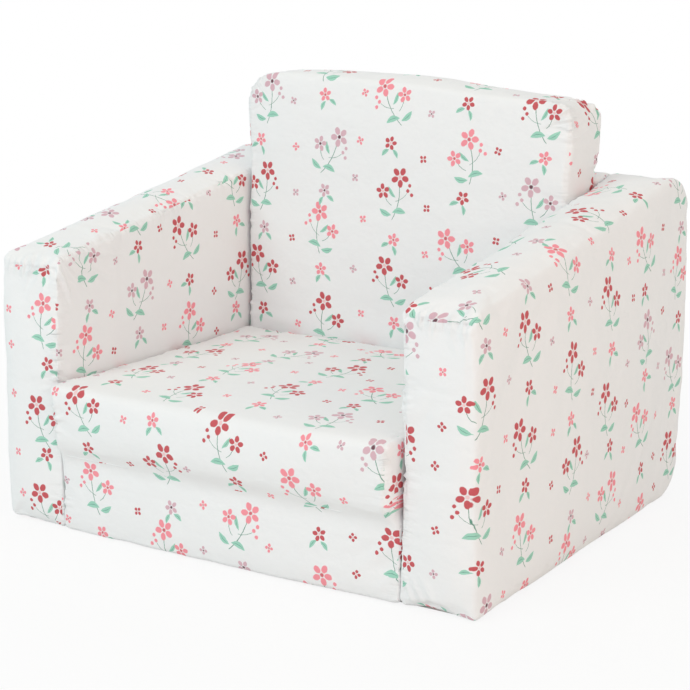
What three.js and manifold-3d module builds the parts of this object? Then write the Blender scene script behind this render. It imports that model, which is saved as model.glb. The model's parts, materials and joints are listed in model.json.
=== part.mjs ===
// A child's fold-out foam armchair. The upper seat cushion is joined to the seat base by a strip of
// fabric along the front, and turns over forwards through half a turn to lie on the floor as a leg rest.
// Two arms, a rear panel and a back cushion stand round the seat. Each is a foam block in a padded
// fabric cover, and one cloth closes the covers underneath.
// Millimetres, +Z up, front towards -Y, origin on the floor at the middle of the chair's footprint.
// Left and right are as seen from the front.
import * as THREE from 'three'
import Module from 'manifold-3d'

const wasm = await Module()
wasm.setup()

// Overall sizes, over the fullest points of the padding
const width = 600
const depth = 540
const height = 484

// Fabric and clearances
const fabric = 1.2
const touch = 0.3
const overrun = 5

// Arms
const armThickness = 83
const armFrontHeight = 308
const armRearHeight = 393
const armFrontTopRadius = 18
const armFrontBottomRadius = 12
const armRimRadius = 11
const armOuterSwell = 4
const armTopSwell = 3
const armFrontSwell = 3
const armDraw = 2.5

// Rear end, shared by the arms and the rear panel so that the shell runs round unbroken
const rearTopRadius = 58
const rearBottomRadius = 48
const rearSwell = 3

// Rear panel
const panelThickness = 79
const panelRimRadius = 6

// Back cushion
const backThickness = 84
const backLean = 7
const backTopSwell = 14
const backFrontSwell = 11
const backCornerRadius = 34
const backFrontRadius = 9
const backRearRadius = 28
const backEdgeRadius = 10
const backSideDraw = 2

// Seat base, and the seat cushion that turns over
const baseHeight = 88
const baseFrontSwell = 3
const baseRimRadius = 7
const seatThickness = 87
const seatReach = 24
const seatTopSwell = 7
const seatFrontSwell = 4
const seatDraw = 3
const seatFrontRadius = 16
const seatRimRadius = 10
const seatCornerRadius = 18
const seatLeftGap = 0.6
const seatRightGap = 4
const seatRearGap = 0.8
const seatFrontGap = 0.5

// Hinge strip and base cloth
const hingeStrip = 1
const hingeStripDepth = 42
const hingeStripSetBack = 8
const hingeStripMargin = 12
const clothSetBack = 14
const clothCornerRadius = 10
const turnUnder = 14

// Zips: a coil chain on two tapes, and a flat slider with no pull tab, as on a child's cushion
const zipSideMargin = 32
const tapeThickness = 0.8
const tapeReach = 13
const coilGap = 1
const coilWidth = 2.2
const coilHeight = 1.9
const sliderLength = 11
const sliderWidth = 8
const sliderPlate = 1.2
const sliderLip = 1
const sliderWeb = 0.4
const sliderNose = 2.5
const slotClearance = 0.6
const stopLength = 3
const baseZipFromRear = 70

// Counts and shares
const arcSteps = 2
const sideSteps = 4
const capRingShares = [2 / 3, 1 / 3]
const middleShares = [0.25, 0.5, 0.75]
const longRoundShares = [0, 0.03, 0.12, 0.28, 0.5, 0.75, 1]
const shortRoundShares = [0, 0.12, 0.45, 1]
const smallestCornerShare = 0.2
const crownMarginShare = 0.1

// Colours: a near-white print cloth, cream foam, and pale grey for the underside and the zips
const coverCloth = { color: 0xf1efed, roughness: 0.85, metalness: 0 }
const blockFoam = { color: 0xece3c4, roughness: 0.95, metalness: 0 }
const undersideCloth = { color: 0xd9d8d4, roughness: 0.95, metalness: 0 }
const zipTape = { color: 0xe9e6e2, roughness: 0.9, metalness: 0 }
const zipMetal = { color: 0xb9bbbd, roughness: 0.35, metalness: 1 }

// Planes and levels that the pieces share
const blockBottom = fabric + touch
const frontPlane = -depth / 2 + seatReach
const rearPlane = depth / 2
const innerHalf = width / 2 - armThickness
const fitHalf = innerHalf - touch
const seatBottom = baseHeight + 2 * touch + hingeStrip
const seatTop = seatBottom + seatThickness
const panelFront = rearPlane - panelThickness
const backRear = panelFront - touch
const backFront = backRear - backThickness
const hingeHeight = baseHeight + touch + hingeStrip / 2
const hingeY = frontPlane - (seatReach + seatFrontGap) / 2

const same = (value) => [value, value, value, value]
const valueAt = (value, at) => (typeof value === 'function' ? value(at) : value)

// How much a round of this radius takes off a side, at this distance from the end
function roundInset(radius, distance) {
  const left = Math.max(0, radius - distance)
  return radius - Math.sqrt(radius * radius - left * left)
}

// One ring of a padded block: a rectangle with round corners, square to the block's run.
// Its sides are low b, high a, high b and low a, in that order, and each corner follows its side.
// A side swells between its corners, and the seams round it are drawn in between theirs.
function ringPoints(form, at) {
  const { run, low, high, start, end, corners, swell, draw, swellFrom, steps } = form
  const insets = same(0).map(
    (_, side) => roundInset(start[side], at - run[0]) + roundInset(end[side], run[1] - at)
  )
  const middle = (run[0] + run[1]) / 2
  const full = 1 - ((at - middle) / (run[1] - middle)) ** 2
  const crownMiddle = (swellFrom + run[1]) / 2
  const crown = Math.max(0, 1 - ((at - crownMiddle) / (run[1] - crownMiddle)) ** 2)
  const b0 = valueAt(low[1], at) + insets[0] + draw[0] * full
  const a1 = valueAt(high[0], at) - insets[1] - draw[1] * full
  const b1 = valueAt(high[1], at) - insets[2] - draw[2] * full
  const a0 = valueAt(low[0], at) + insets[3] + draw[3] * full
  const radii = corners.map((radius, side) =>
    Math.max(smallestCornerShare * radius, radius - Math.min(insets[side], insets[(side + 1) % 4]))
  )
  const centres = [
    [a1 - radii[0], b0 + radii[0]],
    [a1 - radii[1], b1 - radii[1]],
    [a0 + radii[2], b1 - radii[2]],
    [a0 + radii[3], b0 + radii[3]],
  ]
  const points = []
  for (let side = 0; side < 4; side++) {
    const before = (side + 3) % 4
    const facing = (side - 1) * (Math.PI / 2)
    const outward = [Math.cos(facing), Math.sin(facing)]
    const edge = (corner) => centres[corner].map((c, axis) => c + outward[axis] * radii[corner])
    const [from, to] = [edge(before), edge(side)]
    for (let step = 1; step < steps; step++) {
      const share = step / steps
      const bow = 1 - (2 * share - 1) ** 2
      const push = bow * (swell[side] * crown - draw[side] * (1 - 2 * full))
      points.push(from.map((f, axis) => f + (to[axis] - f) * share + outward[axis] * push))
    }
    for (let step = 0; step <= arcSteps; step++) {
      const angle = facing + ((Math.PI / 2) * step) / arcSteps
      const turn = [Math.cos(angle), Math.sin(angle)]
      points.push(centres[side].map((c, axis) => c + turn[axis] * radii[side]))
    }
  }
  return points
}

// Where a block's rings stand: close together round its ends, and a few along its run
function ringPlaces(form) {
  const { run, start, end, startShares, endShares, middles } = form
  const reach = [Math.max(...start), Math.max(...end)]
  return [
    ...startShares.map((share) => run[0] + share * reach[0]),
    ...middles,
    ...endShares.map((share) => run[1] - share * reach[1]).reverse(),
  ]
}

// Closed skin of a padded block: its rings joined in turn, with a swelling cap at each end
function blockGeometry(form) {
  const rings = ringPlaces(form).map((at) => ({ at, points: ringPoints(form, at) }))
  const count = rings[0].points.length
  const centreOf = (points) => [0, 1].map((axis) => points.reduce((sum, p) => sum + p[axis], 0) / count)
  const capRings = (ring, swell) =>
    form.capShares.map((share) => {
      const centre = centreOf(ring.points)
      const points = ring.points.map((p) => p.map((c, axis) => centre[axis] + (c - centre[axis]) * share))
      return { at: ring.at + swell * (1 - share * share), points }
    })
  const last = rings.length - 1
  const all = [
    ...capRings(rings[0], -form.caps[0]).reverse(),
    ...rings,
    ...capRings(rings[last], form.caps[1]),
  ]
  const order = { x: ([a, b, r]) => [r, a, b], y: ([a, b, r]) => [b, r, a], z: (p) => p }[form.axis]
  const positions = all.flatMap(({ at, points }) => points.flatMap(([a, b]) => order([a, b, at])))
  const indices = []
  for (let ring = 0; ring < all.length - 1; ring++) {
    for (let i = 0; i < count; i++) {
      const here = ring * count + i
      const next = ring * count + ((i + 1) % count)
      indices.push(here, next, next + count, here, next + count, here + count)
    }
  }
  const startCentre = all.length * count
  positions.push(...order([...centreOf(rings[0].points), rings[0].at - form.caps[0]]))
  positions.push(...order([...centreOf(rings[last].points), rings[last].at + form.caps[1]]))
  for (let i = 0; i < count; i++) {
    const next = (i + 1) % count
    const lastRing = (all.length - 1) * count
    indices.push(startCentre, next, i, startCentre + 1, lastRing + i, lastRing + next)
  }
  const geometry = new THREE.BufferGeometry()
  geometry.setAttribute('position', new THREE.Float32BufferAttribute(positions, 3))
  geometry.setIndex(indices)
  return geometry
}

// A form's plain inside: flat sides this far in from its drawn-in seams, and no crown
function insideForm(form, inset) {
  const sides = form.draw.map((draw) => draw + inset)
  const inward = (value, by) => (at) => valueAt(value, at) + by
  const smaller = (radii) => radii.map((radius) => radius - inset)
  return {
    ...form,
    run: [form.run[0] + inset, form.run[1] - inset],
    low: [inward(form.low[0], sides[3]), inward(form.low[1], sides[0])],
    high: [inward(form.high[0], -sides[1]), inward(form.high[1], -sides[2])],
    start: smaller(form.start),
    end: smaller(form.end),
    corners: smaller(form.corners),
    swell: same(0),
    draw: same(0),
    caps: [0, 0],
    capShares: [],
    middles: [],
    steps: 1,
  }
}

function blockForm(sizes) {
  const form = {
    swell: same(0),
    draw: same(0),
    caps: [0, 0],
    capShares: capRingShares,
    startShares: shortRoundShares,
    endShares: shortRoundShares,
    swellFrom: sizes.run[0],
    steps: sideSteps,
    ...sizes,
  }
  const length = form.run[1] - form.swellFrom
  return { ...form, middles: middleShares.map((share) => form.swellFrom + share * length) }
}

// Solids for joining and cutting, and meshes made from them
function solidOf(geometry) {
  return new wasm.Manifold(
    new wasm.Mesh({
      numProp: 3,
      vertProperties: geometry.attributes.position.array,
      triVerts: new Uint32Array(geometry.index.array),
    })
  )
}

function geometryOf(solid) {
  const { vertProperties, triVerts } = solid.getMesh()
  const geometry = new THREE.BufferGeometry()
  geometry.setAttribute('position', new THREE.Float32BufferAttribute(vertProperties, 3))
  geometry.setIndex(new THREE.BufferAttribute(triVerts, 1))
  return geometry
}

// A box between two corners, as eight shared points
function boxGeometry(low, high) {
  const corner = (i) => [i & 1 ? high[0] : low[0], i & 2 ? high[1] : low[1], i & 4 ? high[2] : low[2]]
  const geometry = new THREE.BufferGeometry()
  const corners = [0, 1, 2, 3, 4, 5, 6, 7].flatMap(corner)
  geometry.setAttribute('position', new THREE.Float32BufferAttribute(corners, 3))
  geometry.setIndex([
    0, 2, 3, 0, 3, 1, 4, 5, 7, 4, 7, 6, 0, 1, 5, 0, 5, 4,
    2, 6, 7, 2, 7, 3, 0, 4, 6, 0, 6, 2, 1, 3, 7, 1, 7, 5,
  ])
  return geometry
}

const boxSolid = (low, high) => solidOf(boxGeometry(low, high))

function namedMesh(name, geometry, finish) {
  const shown = geometry.toNonIndexed()
  shown.computeVertexNormals()
  const mesh = new THREE.Mesh(shown, new THREE.MeshStandardMaterial(finish))
  mesh.name = name
  return mesh
}

// Prism along Z from an outline of points
function prism(outline, from, to) {
  const count = outline.length
  const points = outline.map(([x, y]) => new THREE.Vector2(x, y))
  const faces = THREE.ShapeUtils.triangulateShape(points, [])
  const positions = [from, to].flatMap((z) => outline.flatMap(([x, y]) => [x, y, z]))
  const indices = faces.flatMap(([i, j, k]) => [i, k, j, i + count, j + count, k + count])
  for (let i = 0; i < count; i++) {
    const next = (i + 1) % count
    indices.push(i, next, next + count, i, next + count, i + count)
  }
  const geometry = new THREE.BufferGeometry()
  geometry.setAttribute('position', new THREE.Float32BufferAttribute(positions, 3))
  geometry.setIndex(indices)
  return geometry
}

function roundedRectangle(low, high, radius, steps) {
  const centres = [
    [high[0] - radius, low[1] + radius],
    [high[0] - radius, high[1] - radius],
    [low[0] + radius, high[1] - radius],
    [low[0] + radius, low[1] + radius],
  ]
  return centres.flatMap((centre, corner) =>
    [...Array(steps + 1).keys()].map((step) => {
      const angle = (corner - 1 + step / steps) * (Math.PI / 2)
      return [centre[0] + radius * Math.cos(angle), centre[1] + radius * Math.sin(angle)]
    })
  )
}

// A cover is the padded form less its plain inside, and less the opening that the foam goes in by.
// The foam block fills the inside, with a touching gap.
function coveredBlock(name, form, { opening, foamCut }) {
  const inside = solidOf(blockGeometry(insideForm(form, fabric)))
  const cover = solidOf(blockGeometry(form)).subtract(inside).subtract(opening)
  const foamForm = insideForm(form, fabric + touch)
  const foam = solidOf(blockGeometry(foamForm))
  return [
    namedMesh(`${name}_cover`, geometryOf(cover), coverCloth),
    namedMesh(`${name}_foam`, geometryOf(foamCut ? foam.subtract(foamCut) : foam), blockFoam),
  ]
}

// The hole underneath a standing cover, inside the hem that it turns under
const bottomOpening = (low, high) =>
  boxSolid([...low, -overrun], [...high, blockBottom + fabric + overrun])

// Arm: runs from front to rear, with a top that climbs towards the back
const armRearEnd = rearPlane - rearSwell
const armSlope = (armRearHeight - armFrontHeight) / (rearPlane - frontPlane)
const shellTop = (y) => armFrontHeight - armTopSwell + armSlope * (y - frontPlane)

function arm(name, side) {
  const outer = width / 2 - armOuterSwell
  const across = [side * innerHalf, side * outer].sort((p, q) => p - q)
  const bySide = (value) => (side > 0 ? [0, armTopSwell, value, 0] : [value, armTopSwell, 0, 0])
  const form = blockForm({
    axis: 'y',
    run: [frontPlane + armFrontSwell, armRearEnd],
    low: [blockBottom, across[0]],
    high: [shellTop, across[1]],
    start: [armRimRadius, armFrontTopRadius, armRimRadius, armFrontBottomRadius],
    end: [armRimRadius, rearTopRadius, armRimRadius, rearBottomRadius],
    endShares: longRoundShares,
    corners: same(armRimRadius),
    swell: bySide(armOuterSwell),
    draw: [armDraw, armDraw, armDraw, 0],
    caps: [armFrontSwell, rearSwell],
  })
  const opening = bottomOpening(
    [across[0] + turnUnder, frontPlane + armFrontSwell + turnUnder],
    [across[1] - turnUnder, armRearEnd - rearBottomRadius]
  )
  return coveredBlock(name, form, { opening })
}

// Rear panel: closes the shell between the arms, with the arms' rear rounds
function rearPanel() {
  const form = blockForm({
    axis: 'y',
    run: [panelFront, armRearEnd],
    low: [blockBottom, -fitHalf],
    high: [shellTop, fitHalf],
    start: [panelRimRadius, panelRimRadius, panelRimRadius, panelRimRadius],
    end: [panelRimRadius, rearTopRadius, panelRimRadius, rearBottomRadius],
    endShares: longRoundShares,
    corners: same(panelRimRadius),
    swell: [0, armTopSwell, 0, 0],
    draw: [0, 0, 0, 0],
    caps: [0, rearSwell],
  })
  const opening = bottomOpening(
    [-fitHalf + turnUnder, panelFront + turnUnder],
    [fitHalf - turnUnder, armRearEnd - rearBottomRadius]
  )
  return coveredBlock('rear_panel', { ...form, middles: [] }, { opening })
}

// Back cushion: stands from the floor cloth to well above the arms. Its front is flat behind the seat,
// leans back and swells above it, and its top is domed.
const leanFrom = seatTop
const backCornerLine = height - backTopSwell
const leanAt = (z) => (backLean * Math.max(0, z - leanFrom)) / (backCornerLine - leanFrom)

function backCushion() {
  const topEnd = [backFrontRadius, backCornerRadius, backRearRadius, backCornerRadius]
  const form = blockForm({
    axis: 'z',
    run: [blockBottom, backCornerLine],
    low: [-fitHalf, (z) => backFront + leanAt(z)],
    high: [fitHalf, backRear],
    start: same(baseRimRadius),
    end: topEnd,
    endShares: longRoundShares,
    corners: same(backEdgeRadius),
    swell: [backFrontSwell, 0, 0, 0],
    draw: [0, backSideDraw, 0, backSideDraw],
    caps: [0, backTopSwell],
    swellFrom: leanFrom + crownMarginShare * (backCornerLine - leanFrom),
  })
  const middles = [leanFrom, form.swellFrom, ...form.middles]
  const opening = bottomOpening(
    [-fitHalf + turnUnder, backFront + turnUnder],
    [fitHalf - turnUnder, backRear - turnUnder]
  )
  return coveredBlock('back', { ...form, middles }, { opening })
}

// Seat base: the lower slab, flat where the cushion lies on it
const baseRear = backFront - touch
const baseZipY = baseRear - baseZipFromRear

function seatBase() {
  const form = blockForm({
    axis: 'z',
    run: [blockBottom, baseHeight],
    low: [-fitHalf, frontPlane + baseFrontSwell],
    high: [fitHalf, baseRear],
    start: same(baseRimRadius),
    end: same(baseRimRadius),
    corners: same(baseRimRadius),
    swell: [baseFrontSwell, 0, 0, 0],
    capShares: [],
  })
  const opening = bottomOpening(
    [-fitHalf + turnUnder, frontPlane + baseFrontSwell + turnUnder],
    [fitHalf - turnUnder, baseRear - turnUnder]
  )
  return coveredBlock('base', form, { opening, foamCut: zipRoom(solidPlacer(baseZipPlace)) })
}

// Seat cushion: the upper slab, crowned on top and flat below, with its zip in its rear side
const seatRear = backFront - seatRearGap
const seatSides = [-innerHalf + seatLeftGap, innerHalf - seatRightGap]

function seatCushion() {
  const form = blockForm({
    axis: 'z',
    run: [seatBottom, seatTop - seatTopSwell],
    low: [seatSides[0], -depth / 2 + seatFrontSwell],
    high: [seatSides[1], seatRear],
    start: same(seatRimRadius),
    end: [seatFrontRadius, seatRimRadius, seatRimRadius, seatRimRadius],
    corners: [seatCornerRadius, seatRimRadius, seatRimRadius, seatCornerRadius],
    swell: [seatFrontSwell, 0, 0, 0],
    draw: [seatDraw, seatDraw, 0, seatDraw],
    caps: [0, seatTopSwell],
  })
  const place = solidPlacer(seatZipPlace)
  return coveredBlock('seat', form, { opening: zipSlot(place), foamCut: zipRoom(place) })
}

// Zip parts are made lying along X, with Y across the chain and Z out of the cloth, whose outer face
// is at zero. The chain is sunk so that the slider stays below that face.
const plateTop = -touch
const plateBottom = plateTop - sliderPlate
const coilTop = plateBottom - touch
const coilBottom = coilTop - coilHeight
const innerPlateTop = coilBottom - touch
const innerPlateBottom = innerPlateTop - sliderPlate
const slotHalf = sliderWidth / 2 + slotClearance
const zipEnd = fitHalf - zipSideMargin
const sliderRest = zipEnd - stopLength - touch - sliderLength / 2
const seatZipPlace = {
  position: [(seatSides[0] + seatSides[1]) / 2, seatRear, (seatBottom + seatTop - seatTopSwell) / 2],
  turn: -Math.PI / 2,
}
const baseZipPlace = { position: [0, baseZipY, 0], turn: Math.PI }

// Moves a solid made in the zip's own place to where the zip is
function solidPlacer({ position, turn }) {
  const matrix = new THREE.Matrix4().makeRotationX(turn).setPosition(...position)
  return (geometry) => solidOf(geometry.clone().applyMatrix4(matrix))
}

const zipSlot = (place) => place(boxGeometry([-zipEnd, -slotHalf, -fabric - touch / 2], [zipEnd, slotHalf, overrun]))

const zipRoom = (place) =>
  place(
    boxGeometry(
      [-zipEnd - touch, -tapeReach - touch, innerPlateBottom - touch],
      [zipEnd + touch, tapeReach + touch, overrun]
    )
  )

// One tape with its row of coils: flat under the cloth, then stepped down to carry the sunk chain
function tapeGeometry(side) {
  const flatTop = -fabric - touch
  const coilInner = coilGap / 2
  const coilOuter = coilInner + coilWidth
  const stepFoot = slotHalf
  const stepHead = slotHalf + tapeThickness + touch
  const outline = [
    [coilInner, coilBottom],
    [stepFoot + touch, coilBottom],
    [stepHead + touch, flatTop - tapeThickness],
    [tapeReach, flatTop - tapeThickness],
    [tapeReach, flatTop],
    [stepHead, flatTop],
    [stepFoot, coilBottom + tapeThickness],
    [coilOuter, coilBottom + tapeThickness],
    [coilOuter, coilTop],
    [coilInner, coilTop],
  ].map(([across, out]) => [side * across, out])
  if (side < 0) outline.reverse()
  const geometry = prism(outline, -zipEnd, zipEnd)
  const lay = new THREE.Matrix4().makeBasis(
    new THREE.Vector3(0, 1, 0),
    new THREE.Vector3(0, 0, 1),
    new THREE.Vector3(1, 0, 0)
  )
  return geometry.applyMatrix4(lay)
}

// Slider: an outer plate with lips that hold the coils, a thin web between them, and an inner plate
function sliderGeometry() {
  const half = sliderLength / 2
  const wide = sliderWidth / 2
  const plate = (reach, bottom, top) => {
    const nose = sliderNose * (reach / wide)
    return solidOf(
      prism(
        [
          [-half, -reach + nose],
          [-half + nose, -reach],
          [half - sliderLip, -reach],
          [half, -reach + sliderLip],
          [half, reach - sliderLip],
          [half - sliderLip, reach],
          [-half + nose, reach],
          [-half, reach - nose],
        ],
        bottom,
        top
      )
    )
  }
  const joined = sliderPlate / 2
  const lip = (side) => {
    const across = [side * (wide - sliderLip), side * wide].sort((p, q) => p - q)
    const lipBottom = coilBottom + tapeThickness + touch
    return boxSolid([-half + sliderNose, across[0], lipBottom], [half - sliderLip, across[1], plateTop - joined])
  }
  const web = boxSolid(
    [-half + sliderLip, -sliderWeb / 2, innerPlateTop - joined],
    [half - sliderLip, sliderWeb / 2, plateBottom + joined]
  )
  const slider = plate(wide, plateBottom, plateTop)
    .add(lip(1))
    .add(lip(-1))
    .add(web)
    .add(plate(wide - sliderLip, innerPlateBottom, innerPlateTop))
  return geometryOf(slider)
}

// Stop across both rows, at one end of the chain
function stopGeometry(side) {
  const outer = coilGap / 2 + coilWidth
  const along = [side * zipEnd, side * (zipEnd - stopLength)].sort((p, q) => p - q)
  return boxGeometry([along[0], -outer, coilTop + touch], [along[1], outer, plateTop])
}

function zip(name, place, tapeNames) {
  const group = new THREE.Group()
  group.position.set(...place.position)
  group.rotation.x = place.turn
  const slider = namedMesh(`${name}_zip_slider`, sliderGeometry(), zipMetal)
  slider.position.x = sliderRest
  group.add(
    namedMesh(`${name}_zip_tape_${tapeNames[0]}`, tapeGeometry(1), zipTape),
    namedMesh(`${name}_zip_tape_${tapeNames[1]}`, tapeGeometry(-1), zipTape),
    namedMesh(`${name}_zip_stop_left`, stopGeometry(-1), zipMetal),
    namedMesh(`${name}_zip_stop_right`, stopGeometry(1), zipMetal),
    slider
  )
  return group
}

// Hinge strip: sewn between the two slabs along their front, behind the line that the cushion turns on
function hingeStripMesh() {
  const half = fitHalf - hingeStripMargin
  const front = hingeY + hingeStripSetBack
  const low = [-half, front, baseHeight + touch]
  const high = [half, front + hingeStripDepth, baseHeight + touch + hingeStrip]
  return namedMesh('hinge_strip', boxGeometry(low, high), coverCloth)
}

// Base cloth: a flat sheet under the shell, the base and the back, with the base zip's slot in it
function baseClothMesh() {
  const low = [-width / 2 + clothSetBack, frontPlane + clothSetBack]
  const high = [width / 2 - clothSetBack, armRearEnd - rearBottomRadius]
  const sheet = solidOf(prism(roundedRectangle(low, high, clothCornerRadius, 2 * arcSteps), 0, fabric))
  const slot = zipSlot(solidPlacer(baseZipPlace))
  return namedMesh('base_cloth', geometryOf(sheet.subtract(slot)), undersideCloth)
}

const chair = new THREE.Group()
chair.add(
  ...arm('left_arm', -1),
  ...arm('right_arm', 1),
  ...rearPanel(),
  ...backCushion(),
  ...seatBase(),
  baseClothMesh(),
  hingeStripMesh(),
  ...seatCushion(),
  zip('seat', seatZipPlace, ['lower', 'upper']),
  zip('base', baseZipPlace, ['front', 'rear'])
)

export default chair
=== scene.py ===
# A child's fold-out foam armchair, dressed in its printed cloth.
# Metres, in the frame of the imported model. Left and right are as seen from the front.
import json
import math
import bmesh
import bpy
import numpy as np
from mathutils import Matrix, Vector
from mathutils.bvhtree import BVHTree

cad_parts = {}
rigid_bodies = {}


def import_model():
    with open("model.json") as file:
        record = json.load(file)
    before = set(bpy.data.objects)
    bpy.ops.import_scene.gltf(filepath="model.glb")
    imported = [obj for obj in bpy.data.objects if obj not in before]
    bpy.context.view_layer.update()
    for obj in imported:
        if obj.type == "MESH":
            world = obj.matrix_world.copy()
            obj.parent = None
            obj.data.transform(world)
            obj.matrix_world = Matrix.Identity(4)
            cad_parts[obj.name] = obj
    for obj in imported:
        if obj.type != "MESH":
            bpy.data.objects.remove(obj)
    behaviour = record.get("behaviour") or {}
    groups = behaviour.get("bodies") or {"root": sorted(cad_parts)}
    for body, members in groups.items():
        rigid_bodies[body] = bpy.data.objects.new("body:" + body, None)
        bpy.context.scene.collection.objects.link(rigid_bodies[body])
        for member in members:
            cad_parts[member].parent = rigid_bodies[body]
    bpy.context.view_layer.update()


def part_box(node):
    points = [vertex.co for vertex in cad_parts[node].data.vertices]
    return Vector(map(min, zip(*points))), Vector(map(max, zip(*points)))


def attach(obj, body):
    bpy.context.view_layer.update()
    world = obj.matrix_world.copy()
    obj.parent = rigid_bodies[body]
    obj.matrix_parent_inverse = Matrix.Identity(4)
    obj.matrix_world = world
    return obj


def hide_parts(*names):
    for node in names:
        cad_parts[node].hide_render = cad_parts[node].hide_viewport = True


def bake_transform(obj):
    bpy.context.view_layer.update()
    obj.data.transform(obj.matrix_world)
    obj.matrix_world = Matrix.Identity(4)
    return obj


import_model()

# Camera, floor and studio
# The camera stands to the chair's right, a little above it, with a long lens. Five soft boxes light
# the chair evenly, a pale floor carries it, and everything that the camera sees behind it is white.
photo_size = 690
focal_px = 1843.2
camera_place = Vector((1.0983, -1.7268, 0.6659))
camera_yaw = math.radians(32.51)
camera_pitch = math.radians(13.05)
camera_roll = math.radians(0.23)


def placed(name, data):
    """A new object with this data, in the scene."""
    made = bpy.data.objects.new(name, data)
    bpy.context.scene.collection.objects.link(made)
    return made


camera_data = bpy.data.cameras.new("camera")
camera_data.sensor_width = 36
camera_data.lens = camera_data.sensor_width * focal_px / photo_size
camera = placed("camera", camera_data)
bpy.context.scene.camera = camera
level_share = math.cos(camera_pitch)
ahead = Vector(
    (-math.sin(camera_yaw) * level_share, math.cos(camera_yaw) * level_share, -math.sin(camera_pitch))
)
level_right = Vector((math.cos(camera_yaw), math.sin(camera_yaw), 0))
level_up = level_right.cross(ahead)
camera_right = math.cos(camera_roll) * level_right + math.sin(camera_roll) * level_up
camera_up = math.cos(camera_roll) * level_up - math.sin(camera_roll) * level_right
camera_turn = Matrix((camera_right, camera_up, -ahead)).transposed()
camera.matrix_world = Matrix.Translation(camera_place) @ camera_turn.to_4x4()
bpy.context.scene.view_settings.view_transform = "Standard"
chair_middle = Vector((0, 0, 0.2))


def soft_box(name, place, size, watts, color):
    """A large lamp that faces the chair."""
    data = bpy.data.lights.new(name, "AREA")
    data.shape = "RECTANGLE"
    data.size, data.size_y = size
    data.energy = watts
    data.color = color
    lamp = placed(name, data)
    lamp.location = place
    lamp.rotation_euler = (chair_middle - Vector(place)).to_track_quat("-Z", "Y").to_euler()


soft_box("key", (-0.9, -2.6, 1.9), (1.9, 1.6), 29.5, (0.90, 1.0, 0.97))
soft_box("fill", (2.8, -0.6, 1.35), (1.8, 1.6), 16.4, (1.0, 0.785, 0.54))
soft_box("front_right", (2.1, -2.2, 1.5), (1.6, 1.6), 12.4, (1.0, 0.65, 0.68))
soft_box("top", (-0.2, 0.2, 3.0), (2.2, 2.2), 10.4, (1.0, 0.835, 0.59))
soft_box("rear", (-2.2, 2.0, 1.6), (2.0, 1.6), 11.9, (0.85, 0.81, 1.0))


class Wire:
    """One value in a tree of nodes, which takes part in sums as a number would."""

    def __init__(self, tree, socket):
        self.tree = tree
        self.socket = socket

    def __add__(self, other):
        return self.tree.math("ADD", self, other)

    def __radd__(self, other):
        return self.tree.math("ADD", other, self)

    def __sub__(self, other):
        return self.tree.math("SUBTRACT", self, other)

    def __rsub__(self, other):
        return self.tree.math("SUBTRACT", other, self)

    def __mul__(self, other):
        return self.tree.math("MULTIPLY", self, other)

    def __rmul__(self, other):
        return self.tree.math("MULTIPLY", other, self)

    def __truediv__(self, other):
        return self.tree.math("DIVIDE", self, other)

    def __abs__(self):
        return self.tree.math("ABSOLUTE", self)

class Nodes:
    """A tree of nodes."""

    def __init__(self, tree):
        self.nodes = tree.nodes
        self.links = tree.links

    def put(self, socket, value):
        if isinstance(value, Wire):
            self.links.new(value.socket, socket)
        else:
            socket.default_value = value

    def node(self, kind, settings, values, out=0):
        """Any node: its settings first, then a value or a link for its sockets."""
        made = self.nodes.new(kind)
        for key, value in settings.items():
            setattr(made, key, value)
        for key, value in values.items():
            self.put(made.inputs[key], value)
        return Wire(self, made.outputs[out])

    def math(self, operation, *values):
        return self.node("ShaderNodeMath", {"operation": operation}, dict(enumerate(values)))


class Tree(Nodes):
    """The nodes of one material."""

    def __init__(self, name, roughness, color=None):
        self.material = bpy.data.materials.new(name)
        self.material.use_nodes = True
        super().__init__(self.material.node_tree)
        self.shader = self.nodes["Principled BSDF"]
        self.wear("Roughness", roughness)
        if color:
            self.wear("Base Color", color)

    def wear(self, key, value):
        """Gives the surface this value or link."""
        self.put(self.shader.inputs[key], value)

    def place(self):
        return self.node("ShaderNodeTexCoord", {}, {}, "Object")

    def inked(self, value):
        """The value held between nothing and one."""
        settings = {"operation": "ADD", "use_clamp": True}
        return self.node("ShaderNodeMath", settings, {0: value, 1: 0.0})

    def mixed(self, share, first, second):
        return self.node("ShaderNodeMix", {"data_type": "RGBA"}, {0: share, 6: first, 7: second}, 2)

    def vector_math(self, operation, values, out=0):
        return self.node("ShaderNodeVectorMath", {"operation": operation}, values, out)

    def dot(self, vector, way):
        return self.vector_math("DOT_PRODUCT", {0: vector, 1: (*way, 0)}, "Value")

    def parts(self, vector):
        split = self.node("ShaderNodeSeparateXYZ", {}, {0: vector})
        return [Wire(self, socket) for socket in split.socket.node.outputs]

    def vector(self, *parts):
        return self.node("ShaderNodeCombineXYZ", {}, dict(enumerate(parts)))

    def noise(self, where, scale, detail=2.0, out=0):
        values = {"Vector": where, "Scale": scale, "Detail": detail}
        return self.node("ShaderNodeTexNoise", {}, values, out)

    def bumped(self, height, depth, under=None):
        """The surface raised by a height between nothing and one, this many metres deep."""
        values = {"Height": height, "Distance": depth, "Strength": 1.0}
        if under is not None:
            values["Normal"] = under
        return self.node("ShaderNodeBump", {}, values)


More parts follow.
